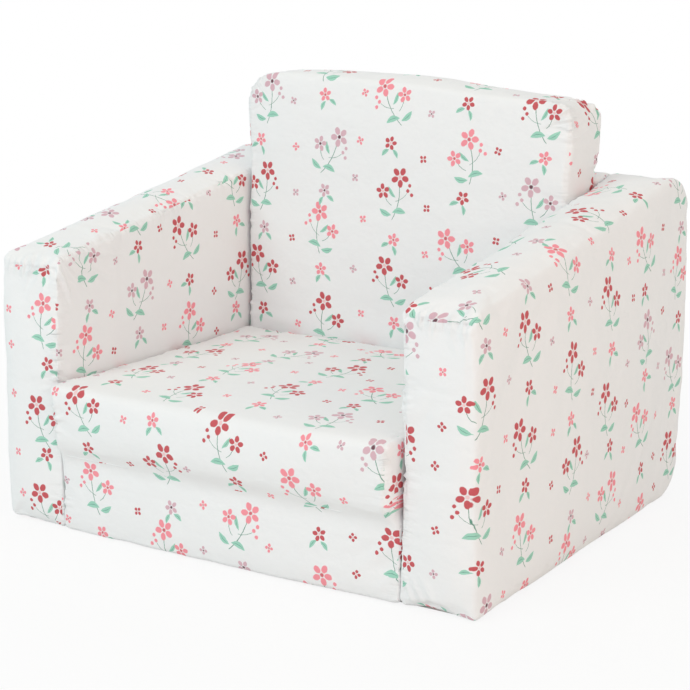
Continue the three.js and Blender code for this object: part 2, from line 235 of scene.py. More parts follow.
world = bpy.data.worlds.new("studio")
bpy.context.scene.world = world
world.use_nodes = True
studio = Nodes(world.node_tree)
room_light = studio.nodes["Background"]
room_light.inputs["Color"].default_value = (0.883, 0.962, 1.0, 1)
room_light.inputs["Strength"].default_value = 0.58
white = studio.node("ShaderNodeBackground", {}, {"Color": (1, 1, 1, 1), "Strength": 1.0})
white_rays = (studio.node("ShaderNodeLightPath", {}, {}, ray) for ray in ("Is Camera Ray", "Is Glossy Ray"))
white_share = studio.math("MAXIMUM", *white_rays)
shown = studio.node(
    "ShaderNodeMixShader", {}, {0: white_share, 1: Wire(studio, room_light.outputs[0]), 2: white}
)
studio.links.new(shown.socket, studio.nodes["World Output"].inputs["Surface"])


def shade(red, green, blue):
    """A colour as seen on a screen, from nothing to 255, in the renderer's own measure."""
    parts = [c / 255 for c in (red, green, blue)]
    return tuple(c / 12.92 if c <= 0.04045 else ((c + 0.055) / 1.055) ** 2.4 for c in parts) + (1.0,)


floor_reach = 40
white_from = 0.45
white_over = 0.9
floor_corners = [(x * floor_reach, y * floor_reach, 0) for x, y in ((-1, -1), (1, -1), (1, 1), (-1, 1))]
floor_mesh = bpy.data.meshes.new("floor")
floor_mesh.from_pydata(floor_corners, [], [(0, 1, 2, 3)])
floor = placed("floor", floor_mesh)


def pale_floor():
    """Matt white board that the camera sees mostly as its own white, and far off as nothing else."""
    tree = Tree("floor_board", 0.9, (0.85, 0.85, 0.84, 1))
    far = tree.vector_math("LENGTH", {0: tree.place()}, "Value")
    far_share = tree.inked((far - white_from) / white_over)
    seen_share = (0.85 + 0.15 * far_share) * tree.node("ShaderNodeLightPath", {}, {}, "Is Camera Ray")
    glow = tree.node("ShaderNodeEmission", {}, {"Color": (1, 1, 1, 1)})
    board = Wire(tree, tree.shader.outputs[0])
    mixed = tree.node("ShaderNodeMixShader", {}, {0: seen_share, 1: board, 2: glow})
    tree.links.new(mixed.socket, tree.nodes["Material Output"].inputs["Surface"])
    return tree.material


floor_mesh.materials.append(pale_floor())

# The arms
# Each is a block of foam in a padded cover. Its outer side, top and front are one cloth, gathered in a
# short seam across the front top edge, and sewn to the inner side along that side's edges.
arm_low, arm_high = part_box("right_arm_cover")
arm_front_height = 0.308
arm_rear_height = 0.393
arm_radii = {"front_top": 0.011, "front_bottom": 0.005, "front_inner": 0.003, "front_outer": 0.0055,
             "rim": 0.0065, "foot": 0.004, "left_foot": 0.010}
rear_radii = {"top": 0.058, "bottom": 0.048, "outer": 0.005}
arm_swell = {"outer": 0.007, "top": 0.003, "front": 0.003, "rear": 0.003}
arm_fullness = 0.006
arm_draw = 0.0025
rear_plane = arm_high.y
front_plane = arm_low.y
ground_gap = arm_low.z


def spacing(length, fine, coarse, growth=0.22):
    """Places along a length, close together at both ends and wider apart in between."""
    half = [0.0]
    while half[-1] < length / 2:
        half.append(half[-1] + min(coarse, fine + growth * half[-1]))
    half = np.array(half) * (length / 2 / half[-1])
    return np.concatenate([half, length - half[-2::-1]])


def round_inset(radius, distance):
    left = np.maximum(0, radius - distance)
    return radius - np.sqrt(np.maximum(0, radius * radius - left * left))


corner_points = 7
side_points = 25


def ring_outline(form, at):
    """Four runs of points round a padded block at one place, each from corner middle to corner middle."""
    run0, run1 = form["run"]
    inset = [
        depth * round_inset(start, at - run0) + round_inset(end, run1 - at)
        for depth, start, end in zip(form["start_depth"], form["start"], form["end"])
    ]
    middle = (run0 + run1) / 2
    full = 1 - ((at - middle) / (run1 - middle)) ** 2
    crown_middle = (form["swell_from"] + run1) / 2
    crown = max(form["end_crown"], 1 - ((at - crown_middle) / (run1 - crown_middle)) ** 2)
    low, high, draw = form["low"](at), form["high"](at), form["draw"]
    b0 = low[1] + inset[0] + draw[0] * full
    a1 = high[0] - inset[1] - draw[1] * full
    b1 = high[1] - inset[2] - draw[2] * full
    a0 = low[0] + inset[3] + draw[3] * full
    radii = [max(0.2 * r, r - min(inset[s], inset[(s + 1) % 4])) for s, r in enumerate(form["corners"])]
    centres = [
        (a1 - radii[0], b0 + radii[0]),
        (a1 - radii[1], b1 - radii[1]),
        (a0 + radii[2], b1 - radii[2]),
        (a0 + radii[3], b0 + radii[3]),
    ]
    sides = []
    for s in range(4):
        before = (s + 3) % 4
        facing = (s - 1) * math.pi / 2
        out = np.array((math.cos(facing), math.sin(facing)))

        def arc(corner, first, last):
            angles = np.linspace(first, last, corner_points)
            turned = np.stack([np.cos(angles), np.sin(angles)], 1)
            return np.array(centres[corner]) + radii[corner] * turned

        head = arc(before, facing - math.pi / 4, facing)
        tail = arc(s, facing, facing + math.pi / 4)
        t = np.linspace(0, 1, side_points)[1:-1, None]
        bow = 1 - (2 * t - 1) ** 2
        push = bow * (form["swell"][s] * crown - draw[s] * (1 - 2 * full))
        straight = head[-1] + (tail[0] - head[-1]) * t + out * push
        sides.append(np.concatenate([head, straight, tail]))
    return sides


def along(points, places):
    """Points at the given shares of a run of points."""
    steps = np.linalg.norm(np.diff(points, axis=0), axis=1)
    reach = np.concatenate([[0], np.cumsum(steps)])
    return np.stack([np.interp(places * reach[-1], reach, points[:, k]) for k in range(points.shape[1])], 1)


def end_places(radius, step):
    """Distances from an end, evenly round its largest round."""
    count = max(2, math.ceil(radius * math.pi / 2 / step))
    return radius * (1 - np.cos(np.linspace(0, math.pi / 2, count + 1)))


def padded_block(form, fine=0.0028, coarse=0.0068):
    """Points over a padded block, and the grid of each of its six faces as rows of point numbers."""
    run0, run1 = form["run"]
    first = run0 + end_places(max(form["start"]), fine)
    last = run1 - end_places(max(form["end"]), fine)[::-1]
    between = first[-1] + spacing(last[0] - first[-1], fine, coarse)[1:-1]
    places = np.concatenate([first, between, last])
    widest = ring_outline(form, (run0 + run1) / 2)
    lengths = [np.linalg.norm(np.diff(side, axis=0), axis=1).sum() for side in widest]
    shares = [spacing(lengths[s], fine, coarse) / lengths[s] for s in (0, 1)]
    shares = [shares[0], shares[1], shares[0], shares[1]]
    rings = []
    for at in places:
        outline = ring_outline(form, at)
        ring = np.concatenate([along(outline[s], shares[s])[:-1] for s in range(4)])
        rings.append(np.column_stack([ring, np.full(len(ring), at)]))
    count = len(rings[0])
    numbers = np.arange(len(rings) * count).reshape(len(rings), count)
    points = [np.concatenate(rings)]
    a_count, b_count = len(shares[0]), len(shares[1])
    corners = np.cumsum([0] + [len(share) - 1 for share in shares])
    faces = {}
    for s, name in enumerate(form["names"][:4]):
        faces[name] = numbers[:, np.arange(corners[s], corners[s + 1] + 1) % count]
    used = len(rings) * count
    for end, (ring, swell) in enumerate(((0, -form["caps"][0]), (len(rings) - 1, form["caps"][1]))):
        side = [faces[form["names"][s]][ring] for s in range(4)]
        grid = np.zeros((a_count, b_count), int)
        grid[:, 0], grid[-1, :] = side[0], side[1]
        grid[:, -1], grid[0, :] = side[2][::-1], side[3][::-1]
        inner = np.arange(used, used + (a_count - 2) * (b_count - 2)).reshape(a_count - 2, b_count - 2)
        grid[1:-1, 1:-1] = inner
        used += inner.size
        rims = points[0]
        p = shares[0][:, None, None]
        q = shares[1][None, :, None]
        across = (1 - q) * rims[grid[:, :1]] + q * rims[grid[:, -1:]]
        down = (1 - p) * rims[grid[:1, :]] + p * rims[grid[-1:, :]]
        corner = (
            (1 - p) * (1 - q) * rims[grid[:1, :1]] + p * (1 - q) * rims[grid[-1:, :1]]
            + (1 - p) * q * rims[grid[:1, -1:]] + p * q * rims[grid[-1:, -1:]]
        )
        patch = across + down - corner
        dome = (1 - (2 * p - 1) ** 2) * (1 - (2 * q - 1) ** 2)
        patch[..., 2:] += swell * dome
        points.append(patch[1:-1, 1:-1].reshape(-1, 3))
        faces[form["names"][4 + end]] = grid
    points = np.concatenate(points)
    order = {"y": (1, 2, 0), "z": (0, 1, 2)}[form["axis"]]
    return points[:, order], faces


def grid_quads(grid):
    """The corners of the quads between a grid's points."""
    return np.stack([grid[:-1, :-1], grid[:-1, 1:], grid[1:, 1:], grid[1:, :-1]], -1).reshape(-1, 4)


def quads(form, name, grid):
    """The corners of a face's quads, wound to face outwards."""
    corners = grid_quads(grid)
    return corners if form["names"].index(name) < 5 else corners[:, (0, 3, 2, 1)]


def reach_along(points, grid):
    """How far each point of a grid lies from the grid's first row, along the cloth."""
    steps = np.linalg.norm(np.diff(points[grid], axis=0), axis=2)
    return np.concatenate([np.zeros((1, grid.shape[1])), np.cumsum(steps, axis=0)])


def block_mesh(name, points, form, faces, maps=None, cut=None):
    """A block's mesh. Maps give each face's place on the flat cloth in metres, cut what a slot takes."""
    mesh = bpy.data.meshes.new(name)
    all_quads, all_uv = [], []
    for face, grid in faces.items():
        corners = quads(form, face, grid)
        if cut and face in cut:
            corners = corners[~cut[face].reshape(-1)]
        all_quads.append(corners)
        if maps:
            all_uv.append(maps[face][corners].reshape(-1, 2))
    mesh.from_pydata(points.tolist(), [], np.concatenate(all_quads).tolist())
    if maps:
        layer = mesh.uv_layers.new(name="cloth")
        layer.data.foreach_set("uv", np.concatenate(all_uv).reshape(-1).astype(np.float32))
    mesh.shade_smooth()
    mesh.update()
    return placed(name, mesh)


def slot_in(points, grid, axes, limits):
    """Moves the nearest rows of a face to a slot's edges, and says which quads lie in the slot."""
    spans = []
    for rows, axis, ends in zip((grid, grid.T), axes, limits):
        places = points[rows, axis].mean(1)
        numbers = [int(np.abs(places - end).argmin()) for end in ends]
        for number, end in zip(numbers, ends):
            points[rows[number], axis] = end
        spans.append(sorted(numbers))
    inside = np.zeros((grid.shape[0] - 1, grid.shape[1] - 1), bool)
    inside[spans[0][0]:spans[0][1], spans[1][0]:spans[1][1]] = True
    return inside


def turned_in(piece, depth):
    """Turns the cloth inwards along the edges of its slot."""
    work = bmesh.new()
    work.from_mesh(piece.data)
    layer = work.loops.layers.uv["cloth"]
    edges = [edge for edge in work.edges if edge.is_boundary]
    lies = {vert: vert.link_loops[0][layer].uv.copy() for edge in edges for vert in edge.verts}
    inwards = {vert.co.copy().freeze(): -depth * vert.normal for vert in lies}
    flat = {vert.co.copy().freeze(): uv for vert, uv in lies.items()}
    made = bmesh.ops.extrude_edge_only(work, edges=edges)["geom"]
    for face in (item for item in made if isinstance(item, bmesh.types.BMFace)):
        face.smooth = True
        for loop in face.loops:
            loop[layer].uv = flat[loop.vert.co.copy().freeze()]
    for vert in (item for item in made if isinstance(item, bmesh.types.BMVert)):
        vert.co += inwards[vert.co.copy().freeze()]
    work.to_mesh(piece.data)
    work.free()
    piece.data.update()


def rows_from(points, grid, axis, sign):
    """The grid turned so that its first row is the border that lies furthest along an axis."""
    turned = (grid, grid[::-1], grid.T, grid.T[::-1])
    return max(turned, key=lambda rows: sign * points[rows[0], axis].mean())


def laid_flat(points, right_way, up_way=(0, 0, 1), shift=(0, 0)):
    """The cloth of a flat face: its map runs along these two directions."""
    return np.stack([points @ np.array(right_way) + shift[0], points @ np.array(up_way) + shift[1]], 1)


def carried_over(points, known, rows, direction):
    """The cloth of a face that goes on over an edge from another face, unrolled from the straight edge."""
    flat = known.copy()
    edge = rows[0]
    middle = len(edge) // 2
    reach = reach_along(points, edge[:, None])[:, 0]
    along_edge = known[edge[middle + 1]] - known[edge[middle - 1]]
    along_edge /= np.linalg.norm(along_edge)
    straight = known[edge[middle]] + (reach - reach[middle])[:, None] * along_edge
    flat[rows] = straight[None] + reach_along(points, rows)[..., None] * np.array(direction)
    return flat


def carry(maps, points, faces, known, axis, sign, ways):
    """Carries one face's cloth on over its edges, to each other face in its way on the flat cloth."""
    for face, way in ways.items():
        maps[face] = carried_over(points, maps[known], rows_from(points, faces[face], axis, sign), way)


def border_between(faces, first, second):
    """The points along the edge that two faces share."""
    grid = faces[first]
    others = set(faces[second].reshape(-1).tolist())
    borders = (grid[0], grid[-1], grid[:, 0], grid[:, -1])
    return max(borders, key=lambda row: sum(n in others for n in row.tolist()))


def border_round(faces, side, others):
    """The points along the edges that a side shares with one face after another."""
    whole = []
    for other in others:
        row = border_between(faces, side, other).tolist()
        if whole:
            ends = (whole[0], whole[-1])
            if ends[0] in (row[0], row[-1]):
                whole.reverse()
            if row[0] != whole[-1]:
                row.reverse()
            whole += row[1:]
        else:
            whole = row
    return whole


def waves(places, length, seed, count=7):
    """Smooth uneven waves of about this length, between minus one and one."""
    rng = np.random.default_rng(seed)
    lengths = length * rng.uniform(0.7, 1.5, count)
    phases = rng.uniform(0, 2 * math.pi, count)
    return np.sin(2 * math.pi * places[:, None] / lengths + phases).sum(1) / math.sqrt(count)


def uneven(points, length, height, seed, count=14):
    """Slow unevenness of stuffed cloth, the same in every direction."""
    rng = np.random.default_rng(seed)
    ways = rng.normal(size=(count, 3))
    ways *= (2 * math.pi / (length * rng.uniform(0.7, 1.6, count)) / np.linalg.norm(ways, axis=1))[:, None]
    return height * np.sin(points @ ways.T + rng.uniform(0, 2 * math.pi, count)).sum(1) / math.sqrt(count)


def nearest_on(points, line):
    """For each point, how far off a line of points it lies, and how far along, and the line's length."""
    reach = np.concatenate([[0], np.cumsum(np.linalg.norm(np.diff(line, axis=0), axis=1))])
    far = np.full(len(points), np.inf)
    place = np.zeros(len(points))
    for k in range(len(line) - 1):
        a, b = line[k], line[k + 1]
        span = b - a
        t = np.clip((points - a) @ span / (span @ span), 0, 1)
        off = np.linalg.norm(points - a - t[:, None] * span, axis=1)
        closer = off < far
        far[closer] = off[closer]
        place[closer] = reach[k] + t[closer] * np.linalg.norm(span)
    return far, place, reach[-1]


def nearest_seam(points, lines):
    """How far off the nearest seam and the next one lie, and the place along the nearest."""
    off = np.full(len(points), np.inf)
    second = off.copy()
    place = np.zeros(len(points))
    for number, line in enumerate(lines):
        far, reach, _ = nearest_on(points, line)
        closer = far < off
        second = np.where(closer, off, np.minimum(second, far))
        off[closer] = far[closer]
        place[closer] = reach[closer] + number
    return off, second, place


seam_reach = 0.09
seam_end = 0.014
fan = 0.35
narrow_gathers = ((0.0105, 0.0009, 0.0085, 1.5), (0.023, 0.0017, 0.018, 1.4))
broad_gathers = (0.06, 0.0017, 0.035, 0.008)
groove_width = 0.0019
beside_groove = (0.35, 0.006, 0.003)
pressed_heights = (0.075, 0.13)


def sewn_seam(points, line, seed, groove, gather, pressed_share=1):
    """How a seam moves the cloth beside it: a narrow groove, with gathers that fan out and die away."""
    off, place, length = nearest_on(points, line)
    near = off < seam_reach
    d, s = off[near], place[near]
    fanned = s + fan * waves(s, 0.06, seed + 1) * d
    bunched = np.clip(0.45 + 0.75 * waves(s, 0.09, seed + 2), 0.05, 1.6)
    pucker = 0
    for number, (wave, height, reach, fall) in enumerate(narrow_gathers, 3):
        ridges = 1 - 2 * np.abs(waves(fanned, wave, seed + number, number)).clip(0, 1)
        pucker = pucker + height * ridges * np.exp(-((d / reach) ** fall))
    wave, height, reach, rise = broad_gathers
    pucker += height * waves(fanned, wave, seed + 5) * np.exp(-d / reach) * np.minimum(1, d / rise)
    moved = np.zeros(len(points))
    free_of_ends = np.clip(np.minimum(s, length - s) / seam_end, 0, 1)
    moved[near] = gather * bunched * pucker * free_of_ends - groove * np.exp(-((d / groove_width) ** 2))
    share, aside, width = beside_groove
    moved[near] += share * groove * np.exp(-(((d - aside) / width) ** 2))
    return moved * np.interp(points[:, 2], pressed_heights, (pressed_share, 1))


gather_reach = 0.03
bisector_fade = 0.007


def map_seams(piece, lines):
    """A map of how far along the nearest seam each place lies, and how near to it."""
    mesh = piece.data
    off, second, place = nearest_seam(mesh_points(mesh), lines)
    near = np.clip(1 - off / gather_reach, 0, 1) * np.clip((second - off) / bisector_fade - 0.4, 0, 1)
    corners = np.empty(len(mesh.loops), int)
    mesh.loops.foreach_get("vertex_index", corners)
    layer = mesh.uv_layers.new(name="seam")
    layer.data.foreach_set("uv", np.stack([place, near], 1)[corners].reshape(-1).astype(np.float32))
    mesh.uv_layers["cloth"].active = True


def soft_fold(points, start, end, width, height):
    """One soft fold of the cloth along a line, highest in its middle."""
    start, end = np.array(start), np.array(end)
    span = end - start
    t = (points - start) @ span / (span @ span)
    off = np.linalg.norm(points - start - t[:, None] * span, axis=1)
    inside = np.clip(1 - (2 * t - 1) ** 2, 0, 1)
    ridge = np.exp(-((off / width) ** 2)) - 0.45 * np.exp(-((off / (2.1 * width)) ** 2))
    return height * inside ** 0.8 * ridge


def with_modifiers(piece):
    """A new mesh of the piece as its modifiers make it."""
    bpy.context.view_layer.update()
    return bpy.data.meshes.new_from_object(piece.evaluated_get(bpy.context.evaluated_depsgraph_get()))


def finer(piece):
    """One subdivision, applied."""
    modifier = piece.modifiers.new("finer", "SUBSURF")
    modifier.levels = modifier.render_levels = 1
    modifier.uv_smooth = "NONE"
    mesh = with_modifiers(piece)
    piece.modifiers.remove(modifier)
    rough = piece.data
    mesh.name = piece.name
    piece.data = mesh
    bpy.data.meshes.remove(rough)
    mesh.shade_smooth()


def mesh_points(mesh):
    flat = np.empty(len(mesh.vertices) * 3)
    mesh.vertices.foreach_get("co", flat)
    return flat.reshape(-1, 3)


def mesh_normals(mesh):
    flat = np.empty(len(mesh.vertices) * 3)
    mesh.vertex_normals.foreach_get("vector", flat)
    return flat.reshape(-1, 3)


lowest = 0.0006
fold_limit = 0.0045


def shape_cloth(piece, moved):
    """Moves the cloth in or out along its own normals, and nothing of it under the floor."""
    mesh = piece.data
    points = mesh_points(mesh) + mesh_normals(mesh) * np.clip(moved, -fold_limit, fold_limit)[:, None]
    points[:, 2] = np.maximum(points[:, 2], lowest)
    mesh.vertices.foreach_set("co", points.reshape(-1))
    mesh.update()


settling_frames = 18
deepest_fold = 0.0022
slip_limit = 0.003
held_within = 0.0016
loose_reach = 0.028
held_again_from = 0.04
held_again_over = 0.06


def settled(piece, seams, room, growth, seed):
    """Lets the cloth settle over its foam: cut too large and held at its seams, it buckles beside them."""
    mesh = piece.data
    start = mesh_points(mesh)
    normals = mesh_normals(mesh)
    off, _, place = nearest_seam(start, seams)
    loose = np.clip(0.55 + 0.45 * waves(place, 0.12, seed), 0.1, 1)
    spread = np.clip(0.12 + 0.88 * loose * np.exp(-off / loose_reach), 0, 1)
    held_again = 0.1 * np.clip((off - held_again_from) / held_again_over, 0, 1)
    held = np.where(off < held_within, 1.0, 0.03 + held_again)
    for name, weights in (("spread", spread), ("held", held)):
        group = piece.vertex_groups.new(name=name)
        steps = np.round(weights, 2)
        for step in np.unique(steps):
            group.add(np.nonzero(steps == step)[0].tolist(), float(step), "REPLACE")
    modifier = piece.modifiers.new("settling", "CLOTH")
    cloth = modifier.settings
    cloth.quality = 5
    cloth.mass = 0.12
    cloth.tension_stiffness = cloth.compression_stiffness = 20
    cloth.shear_stiffness = 6
    cloth.bending_stiffness = 0.03
    cloth.use_pressure = True
    cloth.uniform_pressure_force = 1.0
    cloth.effector_weights.gravity = 0
    cloth.vertex_group_mass = "held"
    cloth.pin_stiffness = 1.0
    cloth.vertex_group_shrink = "spread"
    cloth.shrink_min = 0.0
    cloth.shrink_max = -growth
    modifier.collision_settings.use_collision = False
    modifier.point_cache.frame_start, modifier.point_cache.frame_end = 1, settling_frames
    scene = bpy.context.scene
    nudge = uneven(start, 0.03, 0.0003, seed)[:, None]
    mesh.vertices.foreach_set("co", (start + normals * nudge).reshape(-1))
    for step in range(1, settling_frames + 1):
        scene.frame_set(step)
    made = bpy.data.meshes.new_from_object(piece.evaluated_get(bpy.context.evaluated_depsgraph_get()))
    moved = mesh_points(made) - start
    bpy.data.meshes.remove(made)
    piece.modifiers.remove(modifier)
    piece.vertex_groups.clear()
    scene.frame_set(1)
    out = (moved * normals).sum(1)
    aside = moved - out[:, None] * normals
    aside *= np.minimum(1, slip_limit / np.maximum(1e-9, np.linalg.norm(aside, axis=1)))[:, None]
    out = np.clip(out, -deepest_fold, room)
    mesh.vertices.foreach_set("co", (start + aside + out[:, None] * normals).reshape(-1))
    mesh.update()


def room_by_face(points, faces, common, spaces):
    """How far each point of the cloth may rise off the foam: where faces meet, as the later one says."""
    room = np.full(len(points), common)
    for face, space in spaces.items():
        room[faces[face]] = space
    return room


def sewn_cloth(piece, seams, room, seeds, growth, bumps, folds=(), mouth=None, groove=0.0010):
    """Settles a cover's cloth, then lays slow bumps, the seams' gathers and single folds over it.

    Its seeds are for settling, the bumps and the first seam, and then the step from seam to seam.
    """
    settling_seed, bump_seed, seam_seed, seed_step = seeds
    lines = [line for line, *_ in seams]
    settled(piece, lines if mouth is None else [*lines, mouth], room, growth, settling_seed)
    finer(piece)
    points = mesh_points(piece.data)
    moved = uneven(points, *bumps, bump_seed)
    for number, (line, *gather) in enumerate(seams):
        moved += sewn_seam(points, line, seam_seed + seed_step * number, groove, *gather)
    for fold in folds:
        moved += soft_fold(points, *fold)
    map_seams(piece, lines)
    shape_cloth(piece, moved)


def cover_form(run, low, high, **sizes):
    """A padded block's sizes. Each four are for its four sides, in the order of its names."""
    return {
        "run": run, "low": low, "high": high, "swell": (0, 0, 0, 0), "draw": (0, 0, 0, 0), "caps": (0, 0),
        "swell_from": run[0], "end_crown": 0, "start_depth": (1, 1, 1, 1), **sizes,
    }


front = front_plane
arm_folds = {
    1: (
        ((0.221, front, 0.036), (0.237, front, 0.004), 0.0034, 0.0042),
        ((0.231, front, 0.034), (0.253, front, 0.002), 0.0032, 0.0036),
        ((0.243, front, 0.040), (0.264, front, 0.006), 0.0044, 0.0028),
        ((0.221, front, 0.128), (0.242, front, 0.126), 0.0030, 0.0018),
        ((0.222, front, 0.255), (0.248, front, 0.262), 0.0040, 0.0018),
        ((0.262, front + 0.008, 0.309), (0.258, front, 0.288), 0.0022, 0.0016),
        ((0.272, front + 0.009, 0.309), (0.270, front, 0.284), 0.0024, 0.0020),
        ((0.281, front + 0.009, 0.309), (0.281, front, 0.286), 0.0022, 0.0018),
        ((0.288, front + 0.010, 0.308), (0.292, front, 0.280), 0.0026, 0.0022),
        ((0.288, front, 0.290), (0.298, front + 0.03, 0.250), 0.0045, 0.0024),
    ),
    -1: (
        ((-0.217, front + 0.003, 0.303), (-0.217, front + 0.030, 0.246), 0.0034, 0.0048),
        ((-0.217, front + 0.004, 0.306), (-0.217, front + 0.060, 0.252), 0.0036, 0.0050),
        ((-0.217, front + 0.008, 0.309), (-0.217, front + 0.095, 0.266), 0.0040, 0.0044),
        ((-0.217, front + 0.016, 0.312), (-0.217, front + 0.120, 0.292), 0.0040, 0.0038),
        ((-0.217, front + 0.001, 0.296), (-0.217, front + 0.022, 0.272), 0.0026, 0.0034),
        ((-0.217, front, 0.245), (-0.217, front + 0.024, 0.234), 0.0036, -0.0036),
        ((-0.217, front, 0.214), (-0.217, front + 0.022, 0.205), 0.0034, -0.0034),
        ((-0.217, front, 0.193), (-0.217, front + 0.020, 0.184), 0.0030, -0.0026),
        ((-0.221, front, 0.303), (-0.229, front, 0.276), 0.0024, 0.0022),
        ((-0.229, front + 0.004, 0.309), (-0.236, front, 0.284), 0.0022, 0.0022),
        ((-0.238, front + 0.006, 0.309), (-0.242, front, 0.288), 0.0022, 0.0018),
        ((-0.226, front + 0.012, 0.311), (-0.262, front + 0.022, 0.314), 0.0030, 0.0018),
        ((-0.224, front + 0.020, 0.313), (-0.252, front + 0.045, 0.316), 0.0032, 0.0018),
    ),
}
arm_slope = (arm_rear_height - arm_front_height) / (rear_plane - front_plane)
along_y = ("left", "top", "right", "bottom", "front", "rear")


def shell_top(y):
    return arm_front_height - arm_swell["top"] + arm_slope * (y - front_plane)


def arm_form(name, side):
    low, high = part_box(name)
    outward = arm_fullness - arm_swell["outer"]
    across = (low.x - (side < 0) * outward, high.x + (side > 0) * outward)
    rim = arm_radii["rim"]
    front_sides = (arm_radii["front_inner"], arm_radii["front_outer"])[:: side]
    rear_sides = (rim, rear_radii["outer"])[:: side]
    feet = (arm_radii["foot"], arm_radii["foot" if side > 0 else "left_foot"])[:: side]
    return cover_form(
        (front_plane + arm_swell["front"], rear_plane - arm_swell["rear"]),
        lambda y: (ground_gap, across[0]),
        lambda y: (shell_top(y), across[1]),
        axis="y",
        names=along_y,
        start=(front_sides[0], arm_radii["front_top"], front_sides[1], arm_radii["front_bottom"]),
        end=(rear_sides[0], rear_radii["top"], rear_sides[1], rear_radii["bottom"]),
        corners=(rim, rim, feet[1], feet[0]),
        swell=(arm_swell["outer"] * (side < 0), arm_swell["top"], arm_swell["outer"] * (side > 0), 0),
        draw=(arm_draw * (side > 0), arm_draw, arm_draw * (side < 0), 0),
        caps=(arm_swell["front"], arm_swell["rear"]),
        end_crown=0.4,
    )


foot_spread = {1: 0.0075, -1: 0.002}
foot_spread_height = 0.13
foot_places = (0, 0.3, 0.6, 0.9, 1)
foot_shares = (0.85, 1, 0.6, 0.15, 0)


def spread_foot(points, side):
    """The padding sags outwards along the floor, most in its front half."""
    place = (points[:, 1] - front_plane) / (rear_plane - front_plane)
    low = np.clip(1 - points[:, 2] / foot_spread_height, 0, 1) ** 1.5
    middle = (arm_low.x + arm_high.x) / 2
    outer = np.clip((side * points[:, 0] - middle) / (arm_high.x - middle), 0, 1)
    points[:, 0] += side * foot_spread[side] * low * outer * np.interp(place, foot_places, foot_shares)


inner_cloth_shift = (0.31, 0.047)


def arm_cover(name, form, side, shift):
    points, faces = padded_block(form)
    spread_foot(points, side)
    outer, inner = ("right", "left") if side > 0 else ("left", "right")
    maps = {
        outer: laid_flat(points, (0, side, 0), shift=shift),
        inner: laid_flat(points, (0, -side, 0), shift=np.add(shift, inner_cloth_shift)),
    }
    ways = {"top": (0, 1), "bottom": (0, -1), "front": (-side, 0), "rear": (side, 0)}
    carry(maps, points, faces, outer, 0, side, ways)
    piece = block_mesh(name, points, form, faces, maps)
    seams = [
        (points[border_between(faces, inner, "top")], 0.7),
        (points[border_between(faces, inner, "front")], 1.0, 0.25),
        (points[border_between(faces, inner, "rear")], 0.5),
        (points[border_between(faces, inner, "bottom")], 0.4),
        (points[border_between(faces, "front", "top")], 1.7),
    ]
    room = room_by_face(points, faces, 0.006, {inner: 0.001, "bottom": 0.0})
    seeds = (71 + (side > 0), 11, int(side > 0), 100)
    sewn_cloth(piece, seams, room, seeds, growth=0.13, bumps=(0.11, 0.0007), folds=arm_folds[side])
    return piece


def dress(piece, body, slot, *nodes):
    """Puts a piece in its CAD piece's place, on the body that it moves with."""
    if nodes:
        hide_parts(*nodes)
    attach(piece, body)


